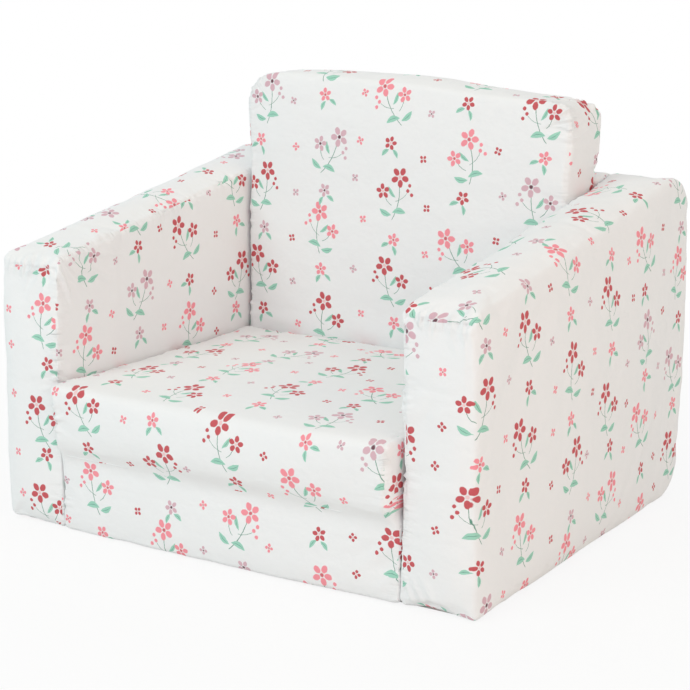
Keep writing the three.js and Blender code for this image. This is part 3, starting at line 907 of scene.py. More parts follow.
def flower_print():
    """Cotton printed with loose flower sprigs, single blossoms and tiny ones in a half-drop repeat."""
    tree = Tree("cover_cloth", 0.88)
    flat = tree.node("ShaderNodeUVMap", {"uv_map": "cloth"}, {})
    in_mm = tree.vector_math("SCALE", {0: flat, "Scale": 1000.0})
    wobble = tree.noise(in_mm, 0.35, 1.0, "Color")
    wobble = tree.vector_math("SUBTRACT", {0: wobble, 1: (0.5, 0.5, 0.5)})
    wobble = tree.vector_math("SCALE", {0: wobble, "Scale": 1.1})
    drawn = tree.vector_math("ADD", {0: in_mm, 1: wobble})
    across, upward, _ = tree.parts(drawn)
    leaf_green, vein_green = shade(160, 212, 192), shade(96, 148, 128)

    def cell(width, height, shift, seed, jitter, tilt):
        """A motif's own place in its cell of the repeat, and four chances for that cell."""
        column = tree.math("FLOOR", (across + shift[0]) / width)
        drop = tree.math("FLOORED_MODULO", column, 2.0) * 0.5
        fallen = (upward + shift[1]) / height + drop
        row = tree.math("FLOOR", fallen)
        where = tree.vector(column, row, float(seed))
        chances = {"noise_dimensions": "3D"}
        white_noise = tree.node("ShaderNodeTexWhiteNoise", chances, {"Vector": where}, "Color")
        first, second, third = tree.parts(white_noise)
        fourth = Wire(tree, white_noise.socket.node.outputs["Value"])
        x = across + shift[0] - (column + 0.5) * width - (first - 0.5) * jitter
        y = (fallen - row - 0.5) * height - (second - 0.5) * jitter
        turn = (third - 0.5) * tilt
        cos, sin = tree.math("COSINE", turn), tree.math("SINE", turn)
        mirrored = tree.math("GREATER_THAN", fourth, 0.5) * 2 - 1
        at = tree.vector((x * cos + y * sin) * mirrored, y * cos - x * sin, 0.0)
        return at, first, second, fourth

    def seen_from(at, place):
        return tree.vector_math("SUBTRACT", {0: at, 1: (*place, 0)})

    def blossom(ground, at, place, radius, petals, petal, heart, turn=0.3):
        """A blossom: one petal's ellipse in a sector that is folded round the heart."""
        x, y, _ = tree.parts(seen_from(at, place))
        far = tree.math("SQRT", x * x + y * y) / radius
        angle = tree.math("ARCTAN2", y, x) + turn
        folded = tree.math("PINGPONG", angle, math.pi / petals)
        half_width = 0.3 if petals > 4 else 0.36
        lengthwise = (far * tree.math("COSINE", folded) - 0.6) / 0.4
        crosswise = far * tree.math("SINE", folded) / half_width
        inside = tree.inked((1 - lengthwise * lengthwise - crosswise * crosswise) * 3)
        ground = tree.mixed(inside, ground, petal)
        return tree.mixed(tree.inked((0.22 - far) * 12), ground, heart)

    def dot(ground, at, place, radius, ink):
        far = tree.vector_math("LENGTH", {0: seen_from(at, place)}, "Value")
        return tree.mixed(tree.inked((radius - far) * 2), ground, ink)

    def stroke(ground, at, foot, head, bow, width, ink, pointed):
        """A stem, or with pointed ends a leaf, along a slightly bowed line."""
        span = np.array(head) - np.array(foot)
        length = float(np.hypot(*span))
        way = span / length
        off = seen_from(at, (np.array(foot) + np.array(head)) / 2)
        lengthwise = tree.dot(off, way) / (length / 2)
        rest = 1 - lengthwise * lengthwise
        crosswise = tree.dot(off, (-way[1], way[0])) - rest * bow
        half = rest * (width / 2) if pointed else tree.math("MINIMUM", rest * 8, 1.0) * (width / 2)
        return tree.mixed(tree.inked((half - abs(crosswise)) / 0.4), ground, ink)

    def leaf(ground, at, foot, head, bow, width):
        ground = stroke(ground, at, foot, head, bow, width, leaf_green, True)
        return stroke(ground, at, foot, head, bow, 0.9, vein_green, True)

    def inks(chance):
        """Petal and heart: rose red, pink or mauve."""
        red = tree.math("LESS_THAN", chance, 0.36)
        mauve = tree.math("GREATER_THAN", chance, 0.7)
        petal = tree.mixed(red, shade(247, 150, 160), shade(200, 88, 94))
        petal = tree.mixed(mauve, petal, shade(218, 180, 190))
        heart = tree.mixed(red, shade(214, 108, 116), shade(240, 205, 205))
        heart = tree.mixed(mauve, heart, shade(112, 72, 84))
        return petal, heart

    cell_width, cell_height = 94.0, 106.0
    ground = shade(241, 241, 241)
    at, _, _, chance = cell(cell_width, cell_height, (0.0, 0.0), 1, 16.0, 0.7)
    petal, heart = inks(tree.math("FRACT", chance * 7))
    ground = stroke(ground, at, (-7, -31), (6, 14), -4.0, 1.2, vein_green, False)
    ground = stroke(ground, at, (-6, -14), (-15, 0), 2.0, 1.0, vein_green, False)
    ground = stroke(ground, at, (-1, -9), (16, 1), -2.0, 0.9, vein_green, False)
    ground = leaf(ground, at, (-7, -25), (-23, -17), 2.0, 7.0)
    ground = leaf(ground, at, (-6, -22), (13, -23), 2.5, 7.5)
    ground = leaf(ground, at, (0, -5), (-9, 9), 1.5, 5.0)
    ground = blossom(ground, at, (7, 19), 12.5, 5, petal, heart)
    ground = blossom(ground, at, (-17, 3), 9.5, 5, petal, heart, 0.9)
    for berry in ((17, 3), (22, -2), (20, 9)):
        ground = dot(ground, at, berry, 2.4, petal)

    at, _, _, chance = cell(cell_width, cell_height, (0.0, cell_height / 2), 2, 12.0, 1.4)
    petal, heart = inks(tree.math("FRACT", chance * 5))
    ground = leaf(ground, at, (2, -3), (12, -11), 1.5, 5.5)
    ground = leaf(ground, at, (-2, -3), (-9, -14), -1.5, 5.0)
    ground = blossom(ground, at, (0, 4), 8.5, 5, petal, heart, 0.6)

    at, _, _, chance = cell(cell_width, cell_height / 2, (cell_width / 2, 11.0), 3, 20.0, 3.0)
    petal, heart = inks(tree.math("FRACT", chance * 9))
    ground = blossom(ground, at, (0, 0), 5.2, 4, petal, heart, 0.2)

    tree.wear("Base Color", ground)
    u, v, _ = tree.parts(in_mm)
    threads = tree.math("SINE", u * 9.0) * tree.math("SINE", v * 9.0)
    weave = tree.bumped(threads * 0.5 + 0.5, 0.00004)
    crumple = tree.bumped(tree.noise(flat, 70.0, 3.0), 0.0013, weave)
    seam = tree.node("ShaderNodeUVMap", {"uv_map": "seam"}, {})
    place, near, _ = tree.parts(seam)
    bunched = tree.inked((tree.noise(tree.vector(place, 0.0, 3.0), 16.0) - 0.36) * 4)
    gathers = tree.noise(tree.vector(place, near * 0.006, 0.0), 210.0, 1.5)
    gathered = tree.inked((gathers - 0.5) * 2.2 + 0.5) * near * near * near * bunched
    tree.wear("Normal", tree.bumped(gathered, 0.0028, crumple))
    return tree.material


cloth_material = flower_print()


def cut_foam():
    """Cream open-cell foam, as sawn from the block."""
    tree = Tree("foam", 0.95, shade(243, 234, 208))
    place = tree.place()
    pores = tree.node("ShaderNodeTexVoronoi", {}, {"Vector": place, "Scale": 700.0}, "Distance")
    lumps = tree.noise(place, 60.0)
    tree.wear("Normal", tree.bumped(pores * 0.6 + lumps * 0.4, 0.0006))
    return tree.material


foam_material = cut_foam()
foam_inset = 0.0065
foam_steps = (0.006, 0.03)


def foam_block(name, form, body):
    """The foam in a cover: the cover's own block without its folds, a little smaller."""
    points, faces = padded_block(form, *foam_steps)
    piece = block_mesh(name, points, form, faces)
    shape_cloth(piece, np.full(len(points), -foam_inset))
    piece.data.materials.append(foam_material)
    dress(piece, body, "foam", name + "_foam")
    piece.name = name + "_block"


for name, side, shift in (("left_arm", -1, (0.12, 0.03)), ("right_arm", 1, (0.0, 0.0))):
    form = arm_form(name + "_cover", side)
    arm = arm_cover(name, form, side, shift)
    arm.data.materials.append(cloth_material)
    dress(arm, "root", "cover_cloth", name + "_cover")
    foam_block(name, form, "root")

# The rear panel
# A foam panel in a padded cover, which closes the chair behind, between the arms and as high as they are.
# Its rear cloth runs on over its round top and bottom, and is sewn down along both sides.
panel_low, panel_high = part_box("rear_panel_cover")
panel_rim = 0.006
over_and_under = {"top": (0, 1), "bottom": (0, -1)}


def panel_form():
    return cover_form(
        (panel_low.y, rear_plane - arm_swell["rear"]),
        lambda y: (ground_gap, panel_low.x),
        lambda y: (shell_top(y), panel_high.x),
        axis="y",
        names=along_y,
        start=(panel_rim,) * 4,
        end=(panel_rim, rear_radii["top"], panel_rim, rear_radii["bottom"]),
        corners=(panel_rim,) * 4,
        swell=(0, arm_swell["top"], 0, 0),
        caps=(0, arm_swell["rear"]),
    )


def side_maps(points, shift=(0, 0)):
    """The cloth of the faces at both sides, upright."""
    return {face: laid_flat(points, (0, way, 0), shift=shift) for face, way in (("left", -1), ("right", 1))}


def panel_cover(form):
    points, faces = padded_block(form)
    maps = {"rear": laid_flat(points, (-1, 0, 0), shift=(0.2, 0.01)), "front": laid_flat(points, (1, 0, 0))}
    maps.update(side_maps(points))
    carry(maps, points, faces, "rear", 1, 1, over_and_under)
    piece = block_mesh("rear_panel", points, form, faces, maps)
    seams = [(points[border_between(faces, "rear", face)], 0.6) for face in ("left", "right")]
    room = room_by_face(points, faces, 0.0, {"rear": 0.004, "top": 0.004, "bottom": 0.0})
    sewn_cloth(piece, seams, room, (73, 21, 210, 10), growth=0.08, bumps=(0.12, 0.0007))
    return piece


form = panel_form()
rear_panel = panel_cover(form)
rear_panel.data.materials.append(cloth_material)
dress(rear_panel, "root", "cover_cloth", "rear_panel_cover")
foam_block("rear_panel", form, "root")

# The back cushion
# A thick block of foam in a padded cover, which stands between the arms and rises above them. Its foam has
# settled to the right. Its front cloth runs on over the top, and one seam goes round each side.
back_low, back_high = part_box("back_cover")
seat_low, seat_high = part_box("seat_cover")
seat_top = seat_high.z
back_radii = {"front": 0.006, "left_corner": 0.034, "right_corner": 0.026, "rear": 0.020, "edge": 0.006,
              "foot": 0.005}
back_lean = 0.007
back_swell = {"top": 0.014, "front": 0.011}
back_draw = 0.002
back_free_from = 0.385
back_free_over = 0.03
back_side_fullness = {"left": 0.002, "right": 0.003}
back_fullness = 0.005
back_top_dome = 0.005
slump_from = 0.33
slump_shares = (0.0, 0.08, 0.29, 0.55, 0.83, 0.96)
slump_rises = (0.009, 0.0125, 0.0145, 0.0095, 0.002, -0.002)
along_z = ("front", "right", "rear", "left", "bottom", "top")
back_rear = back_high.y
back_thickness = 0.084
back_front = back_rear - back_thickness


def back_form():
    corner_line = back_high.z - back_swell["top"]

    def lean(z):
        return back_lean * max(0, z - seat_top) / (corner_line - seat_top)

    def free(z):
        return min(1, max(0, (z - back_free_from) / back_free_over))

    left, right = back_side_fullness["left"], back_side_fullness["right"]
    return cover_form(
        (ground_gap, corner_line),
        lambda z: (back_low.x - left * free(z), back_front + lean(z)),
        lambda z: (back_high.x + right * free(z), back_rear + back_fullness * free(z)),
        axis="z",
        names=along_z,
        start=(back_radii["foot"],) * 4,
        end=(back_radii["front"], back_radii["right_corner"], back_radii["rear"], back_radii["left_corner"]),
        corners=(back_radii["edge"],) * 4,
        swell=(back_swell["front"], 0, 0, 0),
        draw=(0, back_draw, 0, back_draw),
        caps=(0, back_top_dome),
        swell_from=seat_top + 0.1 * (corner_line - seat_top),
    )


back_folds = (
    ((-0.2155, 0.113, 0.398), (-0.203, 0.112, 0.403), 0.0020, 0.0014),
    ((-0.2155, 0.113, 0.414), (-0.198, 0.112, 0.423), 0.0022, 0.0016),
    ((-0.2155, 0.113, 0.429), (-0.200, 0.112, 0.437), 0.0024, 0.0020),
    ((-0.2135, 0.113, 0.439), (-0.190, 0.112, 0.449), 0.0024, 0.0020),
    ((-0.2100, 0.113, 0.452), (-0.195, 0.112, 0.466), 0.0022, 0.0016),
)


def slumped(points):
    """The foam has settled towards the right, so the top slopes down that way."""
    share = (points[:, 0] - back_low.x) / (back_high.x - back_low.x)
    rise = np.polyval(np.polyfit(slump_shares, slump_rises, 3), np.clip(share, 0, 1))
    t = np.clip((points[:, 2] - slump_from) / (back_high.z - back_swell["top"] - slump_from), 0, 1)
    points[:, 2] += rise * t * t * (3 - 2 * t)


def back_cover(form):
    points, faces = padded_block(form)
    slumped(points)
    maps = {
        "front": laid_flat(points, (1, 0, 0), shift=(0.05, 0.02)),
        "rear": laid_flat(points, (-1, 0, 0), shift=(0.4, 0.06)),
        "bottom": laid_flat(points, (1, 0, 0), (0, -1, 0)),
    }
    maps.update(side_maps(points, (0.33, 0.08)))
    carry(maps, points, faces, "front", 1, -1, {"top": (0, 1)})
    piece = block_mesh("back", points, form, faces, maps)
    seams = [
        (points[border_round(faces, side, ("front", "top", "rear"))], gather)
        for side, gather in (("left", 0.8), ("right", 1.1))
    ]
    room = np.full(len(points), 0.005)
    height = points[:, 2]
    hidden_below = {"front": seat_top + 0.004, "left": back_free_from, "right": back_free_from,
                    "rear": shell_top(back_rear)}
    for face, free_from in hidden_below.items():
        grid = faces[face].reshape(-1)
        room[grid] = np.where(height[grid] < free_from, 0.0002, np.minimum(room[grid], 0.004))
    room[faces["bottom"]] = 0.0
    sewn_cloth(piece, seams, room, (74, 31, 310, 10), growth=0.12, bumps=(0.13, 0.0009), folds=back_folds)
    return piece


form = back_form()
back = back_cover(form)
back.data.materials.append(cloth_material)
dress(back, "root", "cover_cloth", "back_cover")
foam_block("back", form, "root")

# The seat base
# The lower slab: foam in a tight padded cover, fixed between the arms. Underneath, the cover ends in a
# narrow edge that is turned in, and the base cloth closes it.
base_low, base_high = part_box("base_cover")
base_swell = 0.003
base_radii = {"top": 0.007, "foot": 0.004, "corner": 0.0015}
base_bulge = 0.004
base_bulge_depth = 0.03
turn_under = 0.014
base_folds = (
    ((0.165, front_plane, 0.030), (0.214, front_plane, 0.062), 0.0070, 0.0024),
    ((0.190, front_plane, 0.012), (0.214, front_plane, 0.030), 0.0050, 0.0018),
    ((-0.214, front_plane, 0.055), (-0.185, front_plane, 0.040), 0.0060, 0.0015),
)
front_shift = (0.02, 0.0)
fold_slack_length = 0.0085


def base_form():
    return cover_form(
        (ground_gap, base_high.z),
        lambda z: (base_low.x, base_low.y + base_swell),
        lambda z: (base_high.x, base_high.y),
        axis="z",
        names=along_z,
        start=(base_radii["foot"],) * 4,
        end=(base_radii["top"],) * 4,
        corners=(base_radii["corner"],) * 4,
        swell=(base_swell, 0, 0, 0),
        end_crown=0.4,
    )


def rectangle(across, upward):
    """The corners of a rectangle, back to the first."""
    (left, right), (low, high) = across, upward
    return (left, low), (right, low), (right, high), (left, high), (left, low)


def base_cover(form):
    points, faces = padded_block(form)
    share = (points[:, 0] - base_low.x) / (base_high.x - base_low.x)
    near_front = np.clip(1 - (points[:, 1] - base_low.y) / base_bulge_depth, 0, 1)
    near_floor = np.clip(1 - points[:, 2] / base_high.z, 0, 1)
    points[:, 1] -= base_bulge * near_front * (1 - (2 * share - 1) ** 2) * near_floor
    maps = {"front": laid_flat(points, (1, 0, 0), shift=front_shift), "rear": laid_flat(points, (-1, 0, 0))}
    maps.update(side_maps(points))
    carry(maps, points, faces, "front", 1, -1, over_and_under)
    limits = (
        (base_low.x + turn_under, base_high.x - turn_under),
        (base_low.y + base_swell + turn_under, base_high.y - turn_under),
    )
    cut = {"bottom": slot_in(points, faces["bottom"], (0, 1), limits)}
    piece = block_mesh("base", points, form, faces, maps, cut)
    seams = [(points[border_between(faces, "front", face)], 0.5) for face in ("left", "right")]
    mouth = np.array([(x, y, ground_gap) for x, y in rectangle(*limits)])
    room = room_by_face(points, faces, 0.0002, {"front": 0.003, "bottom": 0.0})
    sewn_cloth(
        piece, seams, room, (75, 41, 410, 10), growth=0.1, bumps=(0.12, 0.0008), folds=base_folds,
        mouth=mouth, groove=0.0004,
    )
    return piece


form = base_form()
base = base_cover(form)
turned_in(base, 0.001)
base.data.materials.append(cloth_material)
dress(base, "root", "cover_cloth", "base_cover")
foam_block("base", form, "root")

# The seat cushion
# The upper slab, which turns over forwards: foam in a fuller padded cover, gathered along its side seams,
# undercut along its front bottom edge. A zip is sunk in its rear side, by which the foam comes out.
seat_swell = {"top": 0.007, "front": 0.004}
seat_draw = {"front": 0.003, "right": 0.001, "left": 0.003}
seat_radii = {"front": 0.010, "rim": 0.007, "corner": 0.005, "foot": 0.006}
seat_undercut = {"height": 0.040, "depth": 0.022}
zip_half = 0.1847
slot_half_height = 0.0046
tape_low, tape_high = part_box("seat_zip_tape_lower")
_, other_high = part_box("seat_zip_tape_upper")
seat_zip = Vector(((tape_low.x + tape_high.x) / 2, seat_high.y, (tape_low.z + other_high.z) / 2))
seat_side = seat_high.x
seat_side_folds = (
    ((seat_side, -0.2625, 0.166), (seat_side, -0.2600, 0.100), 0.0013, 0.0019),
    ((seat_side, -0.2575, 0.168), (seat_side, -0.2560, 0.128), 0.0014, 0.0016),
    ((seat_side, -0.2560, 0.134), (seat_side, -0.2530, 0.096), 0.0012, 0.0017),
    ((seat_side, -0.2520, 0.166), (seat_side, -0.2540, 0.116), 0.0016, 0.0014),
)


def seat_form():
    rim, corner, foot = seat_radii["rim"], seat_radii["corner"], seat_radii["foot"]
    return cover_form(
        (seat_low.z, seat_top - seat_swell["top"]),
        lambda z: (seat_low.x, seat_low.y + seat_swell["front"]),
        lambda z: (seat_high.x, seat_high.y),
        axis="z",
        names=along_z,
        start=(seat_undercut["height"], foot, foot, foot),
        start_depth=(seat_undercut["depth"] / seat_undercut["height"], 1, 1, 1),
        end=(seat_radii["front"], rim, rim, rim),
        corners=(corner, rim, rim, corner),
        swell=(seat_swell["front"], 0, 0, 0),
        draw=(seat_draw["front"], seat_draw["right"], 0, seat_draw["left"]),
        caps=(0, seat_swell["top"]),
    )


def seat_cover(form):
    points, faces = padded_block(form)
    maps = {
        "front": laid_flat(points, (1, 0, 0), shift=(front_shift[0], front_shift[1] + fold_slack_length)),
        "rear": laid_flat(points, (-1, 0, 0)),
    }
    maps.update(side_maps(points))
    carry(maps, points, faces, "front", 1, -1, over_and_under)
    limits = (
        (seat_zip.z - slot_half_height, seat_zip.z + slot_half_height),
        (seat_zip.x - zip_half, seat_zip.x + zip_half),
    )
    cut = {"rear": slot_in(points, faces["rear"], (2, 0), limits)}
    piece = block_mesh("seat", points, form, faces, maps, cut)
    seams = [
        (points[border_between(faces, "front", "left")], 1.0),
        (points[border_between(faces, "front", "right")], 1.7),
        (points[border_between(faces, "top", "left")], 0.9),
        (points[border_between(faces, "top", "right")], 0.9),
        (points[border_between(faces, "top", "rear")], 0.6),
    ]
    mouth = np.array([(x, seat_high.y, z) for x, z in rectangle(limits[1], limits[0])])
    spaces = {"left": 0.0003, "right": 0.0025, "rear": 0.0003, "bottom": 0.0002}
    room = room_by_face(points, faces, 0.004, spaces)
    sewn_cloth(
        piece, seams, room, (76, 51, 510, 10), growth=0.1, bumps=(0.12, 0.0009), folds=seat_side_folds,
        mouth=mouth,
    )
    return piece


form = seat_form()
seat = seat_cover(form)
turned_in(seat, 0.0012)
seat.data.materials.append(cloth_material)
dress(seat, "seat_cushion", "cover_cloth", "seat_cover")
foam_block("seat", form, "seat_cushion")

# The front fold and the hinge strip
# The front cloth goes on over the joint between base and seat cushion, in a soft crease. A sewn strip
# between the two slabs is the hinge.
fold_span = (0.056, 0.118)
fold_rows = 52
fold_tuck = 0.012
fold_press = 0.0007
fold_lift = 0.0004
fold_evening = 150
fold_end_rows = 4
fold_turn_depths = np.array((0.0012, 0.0035, 0.0065))
fold_turn_insets = np.array((0.0002, 0.0003, 0.0))
look_from = 0.1
look_behind = 0.012


def front_of(tree, x, z):
    """Where a level line from the front first meets a piece, or nothing if it passes."""
    start = Vector((x, front_plane - look_from, z))
    hit = tree.ray_cast(start, Vector((0, 1, 0)), look_from + look_behind)[0]
    return math.inf if hit is None else hit.y


def fold_ends(trees, heights, way, limit):
    """How far the pieces' fronts reach to one side at each height, evened out over the crease."""
    ends = []
    for z in heights:
        steps = limit - way * np.arange(0, 0.02, 0.0003)
        met = (x for x in steps if min(front_of(tree, x, z) for tree in trees) < math.inf)
        ends.append(next(met, np.nan))
    ends = np.array(ends)
    ends = np.interp(heights, heights[~np.isnan(ends)], ends[~np.isnan(ends)])
    rows = fold_end_rows
    wide = np.array([way * max(way * ends[max(0, k - rows):k + rows + 1]) for k in range(len(ends))])
    padded = np.pad(wide, rows, mode="edge")
    return np.convolve(padded, np.full(2 * rows + 1, 1 / (2 * rows + 1)), "valid")


def front_fold(pieces):
    """A band of cloth that lies on the base's front and the seat's, and bridges the joint between them."""
    depsgraph = bpy.context.evaluated_depsgraph_get()
    trees = [BVHTree.FromObject(piece, depsgraph) for piece in pieces]
    heights = np.linspace(*fold_span, fold_rows)
    left = fold_ends(trees, heights, -1, base_low.x - 0.001)
    right = fold_ends(trees, heights, 1, base_high.x + 0.001)
    shares = spacing(1, 0.004, 0.012, 0.2)
    xs = left[:, None] + (right - left)[:, None] * shares[None]
    fronts = [[min(front_of(tree, x, z) for tree in trees) for x in row] for row, z in zip(xs, heights)]
    fronts = np.array(fronts)
    lies = fronts - fold_lift
    for column in lies.T:
        met = np.isfinite(column)
        column[~met] = np.interp(heights[~met], heights[met], column[met])
    stops = np.where(np.isfinite(fronts), fronts - fold_lift, np.inf)
    for _ in range(fold_evening):
        evened = lies.copy()
        evened[1:-1] = (lies[:-2] + 2 * lies[1:-1] + lies[2:]) / 4
        lies = np.minimum(evened, stops)
    rise = np.minimum(heights - heights[0], heights[-1] - heights)
    tucked = np.clip(1 - rise / fold_tuck, 0, 1) ** 2
    lies += (tucked * (fold_lift + fold_press))[:, None]
    xs = np.concatenate(
        [(left[:, None] - fold_turn_insets)[:, ::-1], xs, right[:, None] + fold_turn_insets], 1
    )
    lies = np.concatenate(
        [(lies[:, :1] + fold_turn_depths)[:, ::-1], lies, lies[:, -1:] + fold_turn_depths], 1
    )
    points = np.stack([xs, lies, np.broadcast_to(heights[:, None], xs.shape)], -1).reshape(-1, 3)
    numbers = np.arange(len(points)).reshape(xs.shape)
    reach = reach_along(points, numbers)
    length = float(reach[-1].mean())
    upward = front_shift[1] + heights[0] + reach / reach[-1] * (heights[-1] - heights[0] + fold_slack_length)
    flat = np.stack([xs + front_shift[0], upward], -1).reshape(-1, 2)
    return sheet_piece("front_fold", points, grid_quads(numbers), flat), length


def sheet_piece(name, points, corners, flat=None):
    """A flat mesh, with its place on the flat printed cloth where it has one."""
    mesh = bpy.data.meshes.new(name)
    mesh.from_pydata(points.tolist(), [], corners.tolist())
    if flat is not None:
        layer = mesh.uv_layers.new(name="cloth")
        layer.data.foreach_set("uv", flat[corners].reshape(-1).astype(np.float32))
    mesh.shade_smooth()
    return placed(name, mesh)


def thickened(piece, thickness):
    """Gives a flat mesh its cloth's thickness, on its inner side."""
    modifier = piece.modifiers.new("thickness", "SOLIDIFY")
    modifier.thickness = thickness
    modifier.offset = -1
    mesh = with_modifiers(piece)
    piece.modifiers.remove(modifier)
    piece.data = mesh


fold, fold_length = front_fold((base, seat))
thickened(fold, 0.0008)
fold.data.materials.append(cloth_material)
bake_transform(fold)


def level_grid(xs, ys, z):
    """The points of a level grid, and the corners of its quads, facing up."""
    grid_x, grid_y = np.meshgrid(xs, ys)
    points = np.stack([grid_x, grid_y, np.full(grid_x.shape, z)], -1).reshape(-1, 3)
    return points, grid_quads(np.arange(len(points)).reshape(grid_x.shape))


hinge_low, hinge_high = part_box("hinge_strip")
points, corners = level_grid(
    np.linspace(hinge_low.x, hinge_high.x, 60), np.linspace(hinge_low.y, hinge_high.y, 8), hinge_high.z
)
strip = sheet_piece("hinge_strip_cloth", points, corners, points[:, :2] + np.array((0.3, 0.2)))
thickened(strip, hinge_high.z - hinge_low.z)
strip.data.materials.append(cloth_material)
dress(strip, "root", "cover_cloth", "hinge_strip")

# The base cloth
# One plain cloth closes all the covers underneath. Its edge is sewn down all round, and it has the base's
# zip along its middle.
under_low, under_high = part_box("base_cloth")
under_corner = 0.010
under_step = 0.009
base_zip_low, base_zip_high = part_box("base_zip_tape_front")
_, other_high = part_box("base_zip_tape_rear")
base_zip = Vector(((base_zip_low.x + base_zip_high.x) / 2, (base_zip_low.y + other_high.y) / 2, under_low.z))


def marks(low, high, inner, step):
    """Places from low to high that meet each inner place, about a step apart."""
    ends = [low, *inner, high]
    runs = [np.linspace(a, b, max(2, round((b - a) / step) + 1))[:-1] for a, b in zip(ends[:-1], ends[1:])]
    return np.concatenate([*runs, [high]])


def under_places(low, high, slot):
    """Places from side to side of the base cloth that meet its slot and lie close in its round corners."""
    rounded = under_corner * np.linspace(0, 1, 6)
    places = marks(low, high, (low + under_corner, *slot, high - under_corner), under_step)
    return np.unique(np.concatenate([places, low + rounded, high - rounded]).round(7))


def under_cloth():
    xs = under_places(under_low.x, under_high.x, (base_zip.x - zip_half, base_zip.x + zip_half))
    slot_ends = (base_zip.y - slot_half_height, base_zip.y + slot_half_height)
    ys = under_places(under_low.y, under_high.y, slot_ends)
    points, corners = level_grid(xs, ys, under_high.z)
    from_zip = np.abs(points[corners].mean(1)[:, :2] - np.array(base_zip)[:2])
    corners = corners[~(from_zip < (zip_half, slot_half_height)).all(1)]
    centre = np.array(((under_low.x + under_high.x) / 2, (under_low.y + under_high.y) / 2))
    half = np.array((under_high.x - under_low.x, under_high.y - under_low.y)) / 2 - under_corner
    out = np.abs(points[:, :2] - centre) - half
    rounded = (out > 0).all(1)
    pulled = out[rounded] * (out[rounded].max(1) / np.linalg.norm(out[rounded], axis=1))[:, None]
    points[rounded, :2] = centre + np.sign(points[rounded, :2] - centre) * (half + pulled)
    return sheet_piece("underside", points, corners)


def plain_weave():
    """Pale grey plain cloth, slightly coarse."""
    tree = Tree("underside_cloth", 0.95)
    place = tree.place()
    x, y, _ = tree.parts(place)
    threads = tree.math("SINE", x * 5200.0) * tree.math("SINE", y * 5200.0)
    slub = tree.noise(place, 180.0)
    tree.wear("Base Color", tree.mixed(tree.inked(slub), shade(206, 205, 200), shade(228, 227, 223)))
    tree.wear("Normal", tree.bumped(threads * 0.5 + 0.5, 0.0001))
    return tree.material


under_material = plain_weave()
under = under_cloth()
thickened(under, under_high.z - under_low.z)
under.data.materials.append(under_material)
dress(under, "root", "underside_cloth", "base_cloth")

# The zips
# One opens the seat cushion at its rear, one the base underneath. Each has two woven tapes with a nylon
# coil on their meeting edges, a small cast slider without a pull, and a stop at each end.
tape_reach = 0.013
tape_edge = 0.0005
tape_depth = 0.0015
tape_thickness = 0.0008
coil_pitch = 0.0012
coil_radius = 0.00095
coil_wire = 0.00028
coil_offset = 0.0016
coil_depth = 0.0031
coil_end_gap = 0.004
coil_lean = 0.2


def tape_cloth():
    """Off-white woven tape, ribbed along its length."""
    tree = Tree("zip_tape", 0.85, shade(231, 228, 222))
    x, y, z = tree.parts(tree.place())
    ribs = tree.math("SINE", (y + z) * 5600.0) * 0.5 + 0.5
    picks = tree.math("SINE", x * 9000.0) * 0.5 + 0.5
    tree.wear("Normal", tree.bumped(ribs * 0.7 + picks * 0.3, 0.00012))
    return tree.material


def cast_metal():
    """Satin pale grey die-cast metal."""
    tree = Tree("zip_metal", 0.34, shade(190, 192, 195))
    tree.wear("Metallic", 1.0)
    grain = tree.noise(tree.place(), 900.0, 3.0)
    tree.wear("Normal", tree.bumped(grain, 0.00003))
    tree.wear("Roughness", grain * 0.16 + 0.28)
    return tree.material


tape_material = tape_cloth()
metal_material = cast_metal()
coil_material = Tree("zip_coil", 0.35, shade(236, 234, 229)).material
thread_material = Tree("thread", 0.6, shade(232, 230, 226)).material


def tape(name, zip_place, way, out, node, body):
    """One tape beside the chain, from its meeting edge to its far edge, under the cover's cloth."""
    along_x = np.linspace(zip_place.x - zip_half, zip_place.x + zip_half, 130)
    side_places = np.array((tape_edge, 0.0016, 0.0028, 0.0034, 0.006, 0.009, tape_reach))
    rise = np.array((-0.0006, -0.0006, -0.0005, 0.0, 0.0, 0.0, 0.0))
    way, out = np.array(way, float), np.array(out, float)
    rng = np.random.default_rng(len(name))
    sway = 0.00012 * waves(along_x, 0.05, rng.integers(1000))
    points = np.zeros((len(side_places), len(along_x), 3))
    points += np.array(zip_place) * np.array((0, 1, 1)) + side_places[:, None, None] * way
    points[..., 0] += along_x
    points += ((rise - tape_depth)[:, None] + sway * (side_places[:, None] > 0.004))[..., None] * out
    corners = grid_quads(np.arange(points[..., 0].size).reshape(points.shape[:2]))
    faces_out = np.cross((1, 0, 0), way) @ out > 0
    piece = sheet_piece(name, points.reshape(-1, 3), corners if faces_out else corners[:, ::-1])
    thickened(piece, tape_thickness)
    piece.data.materials.append(tape_material)
    dress(piece, body, "zip_tape", node)


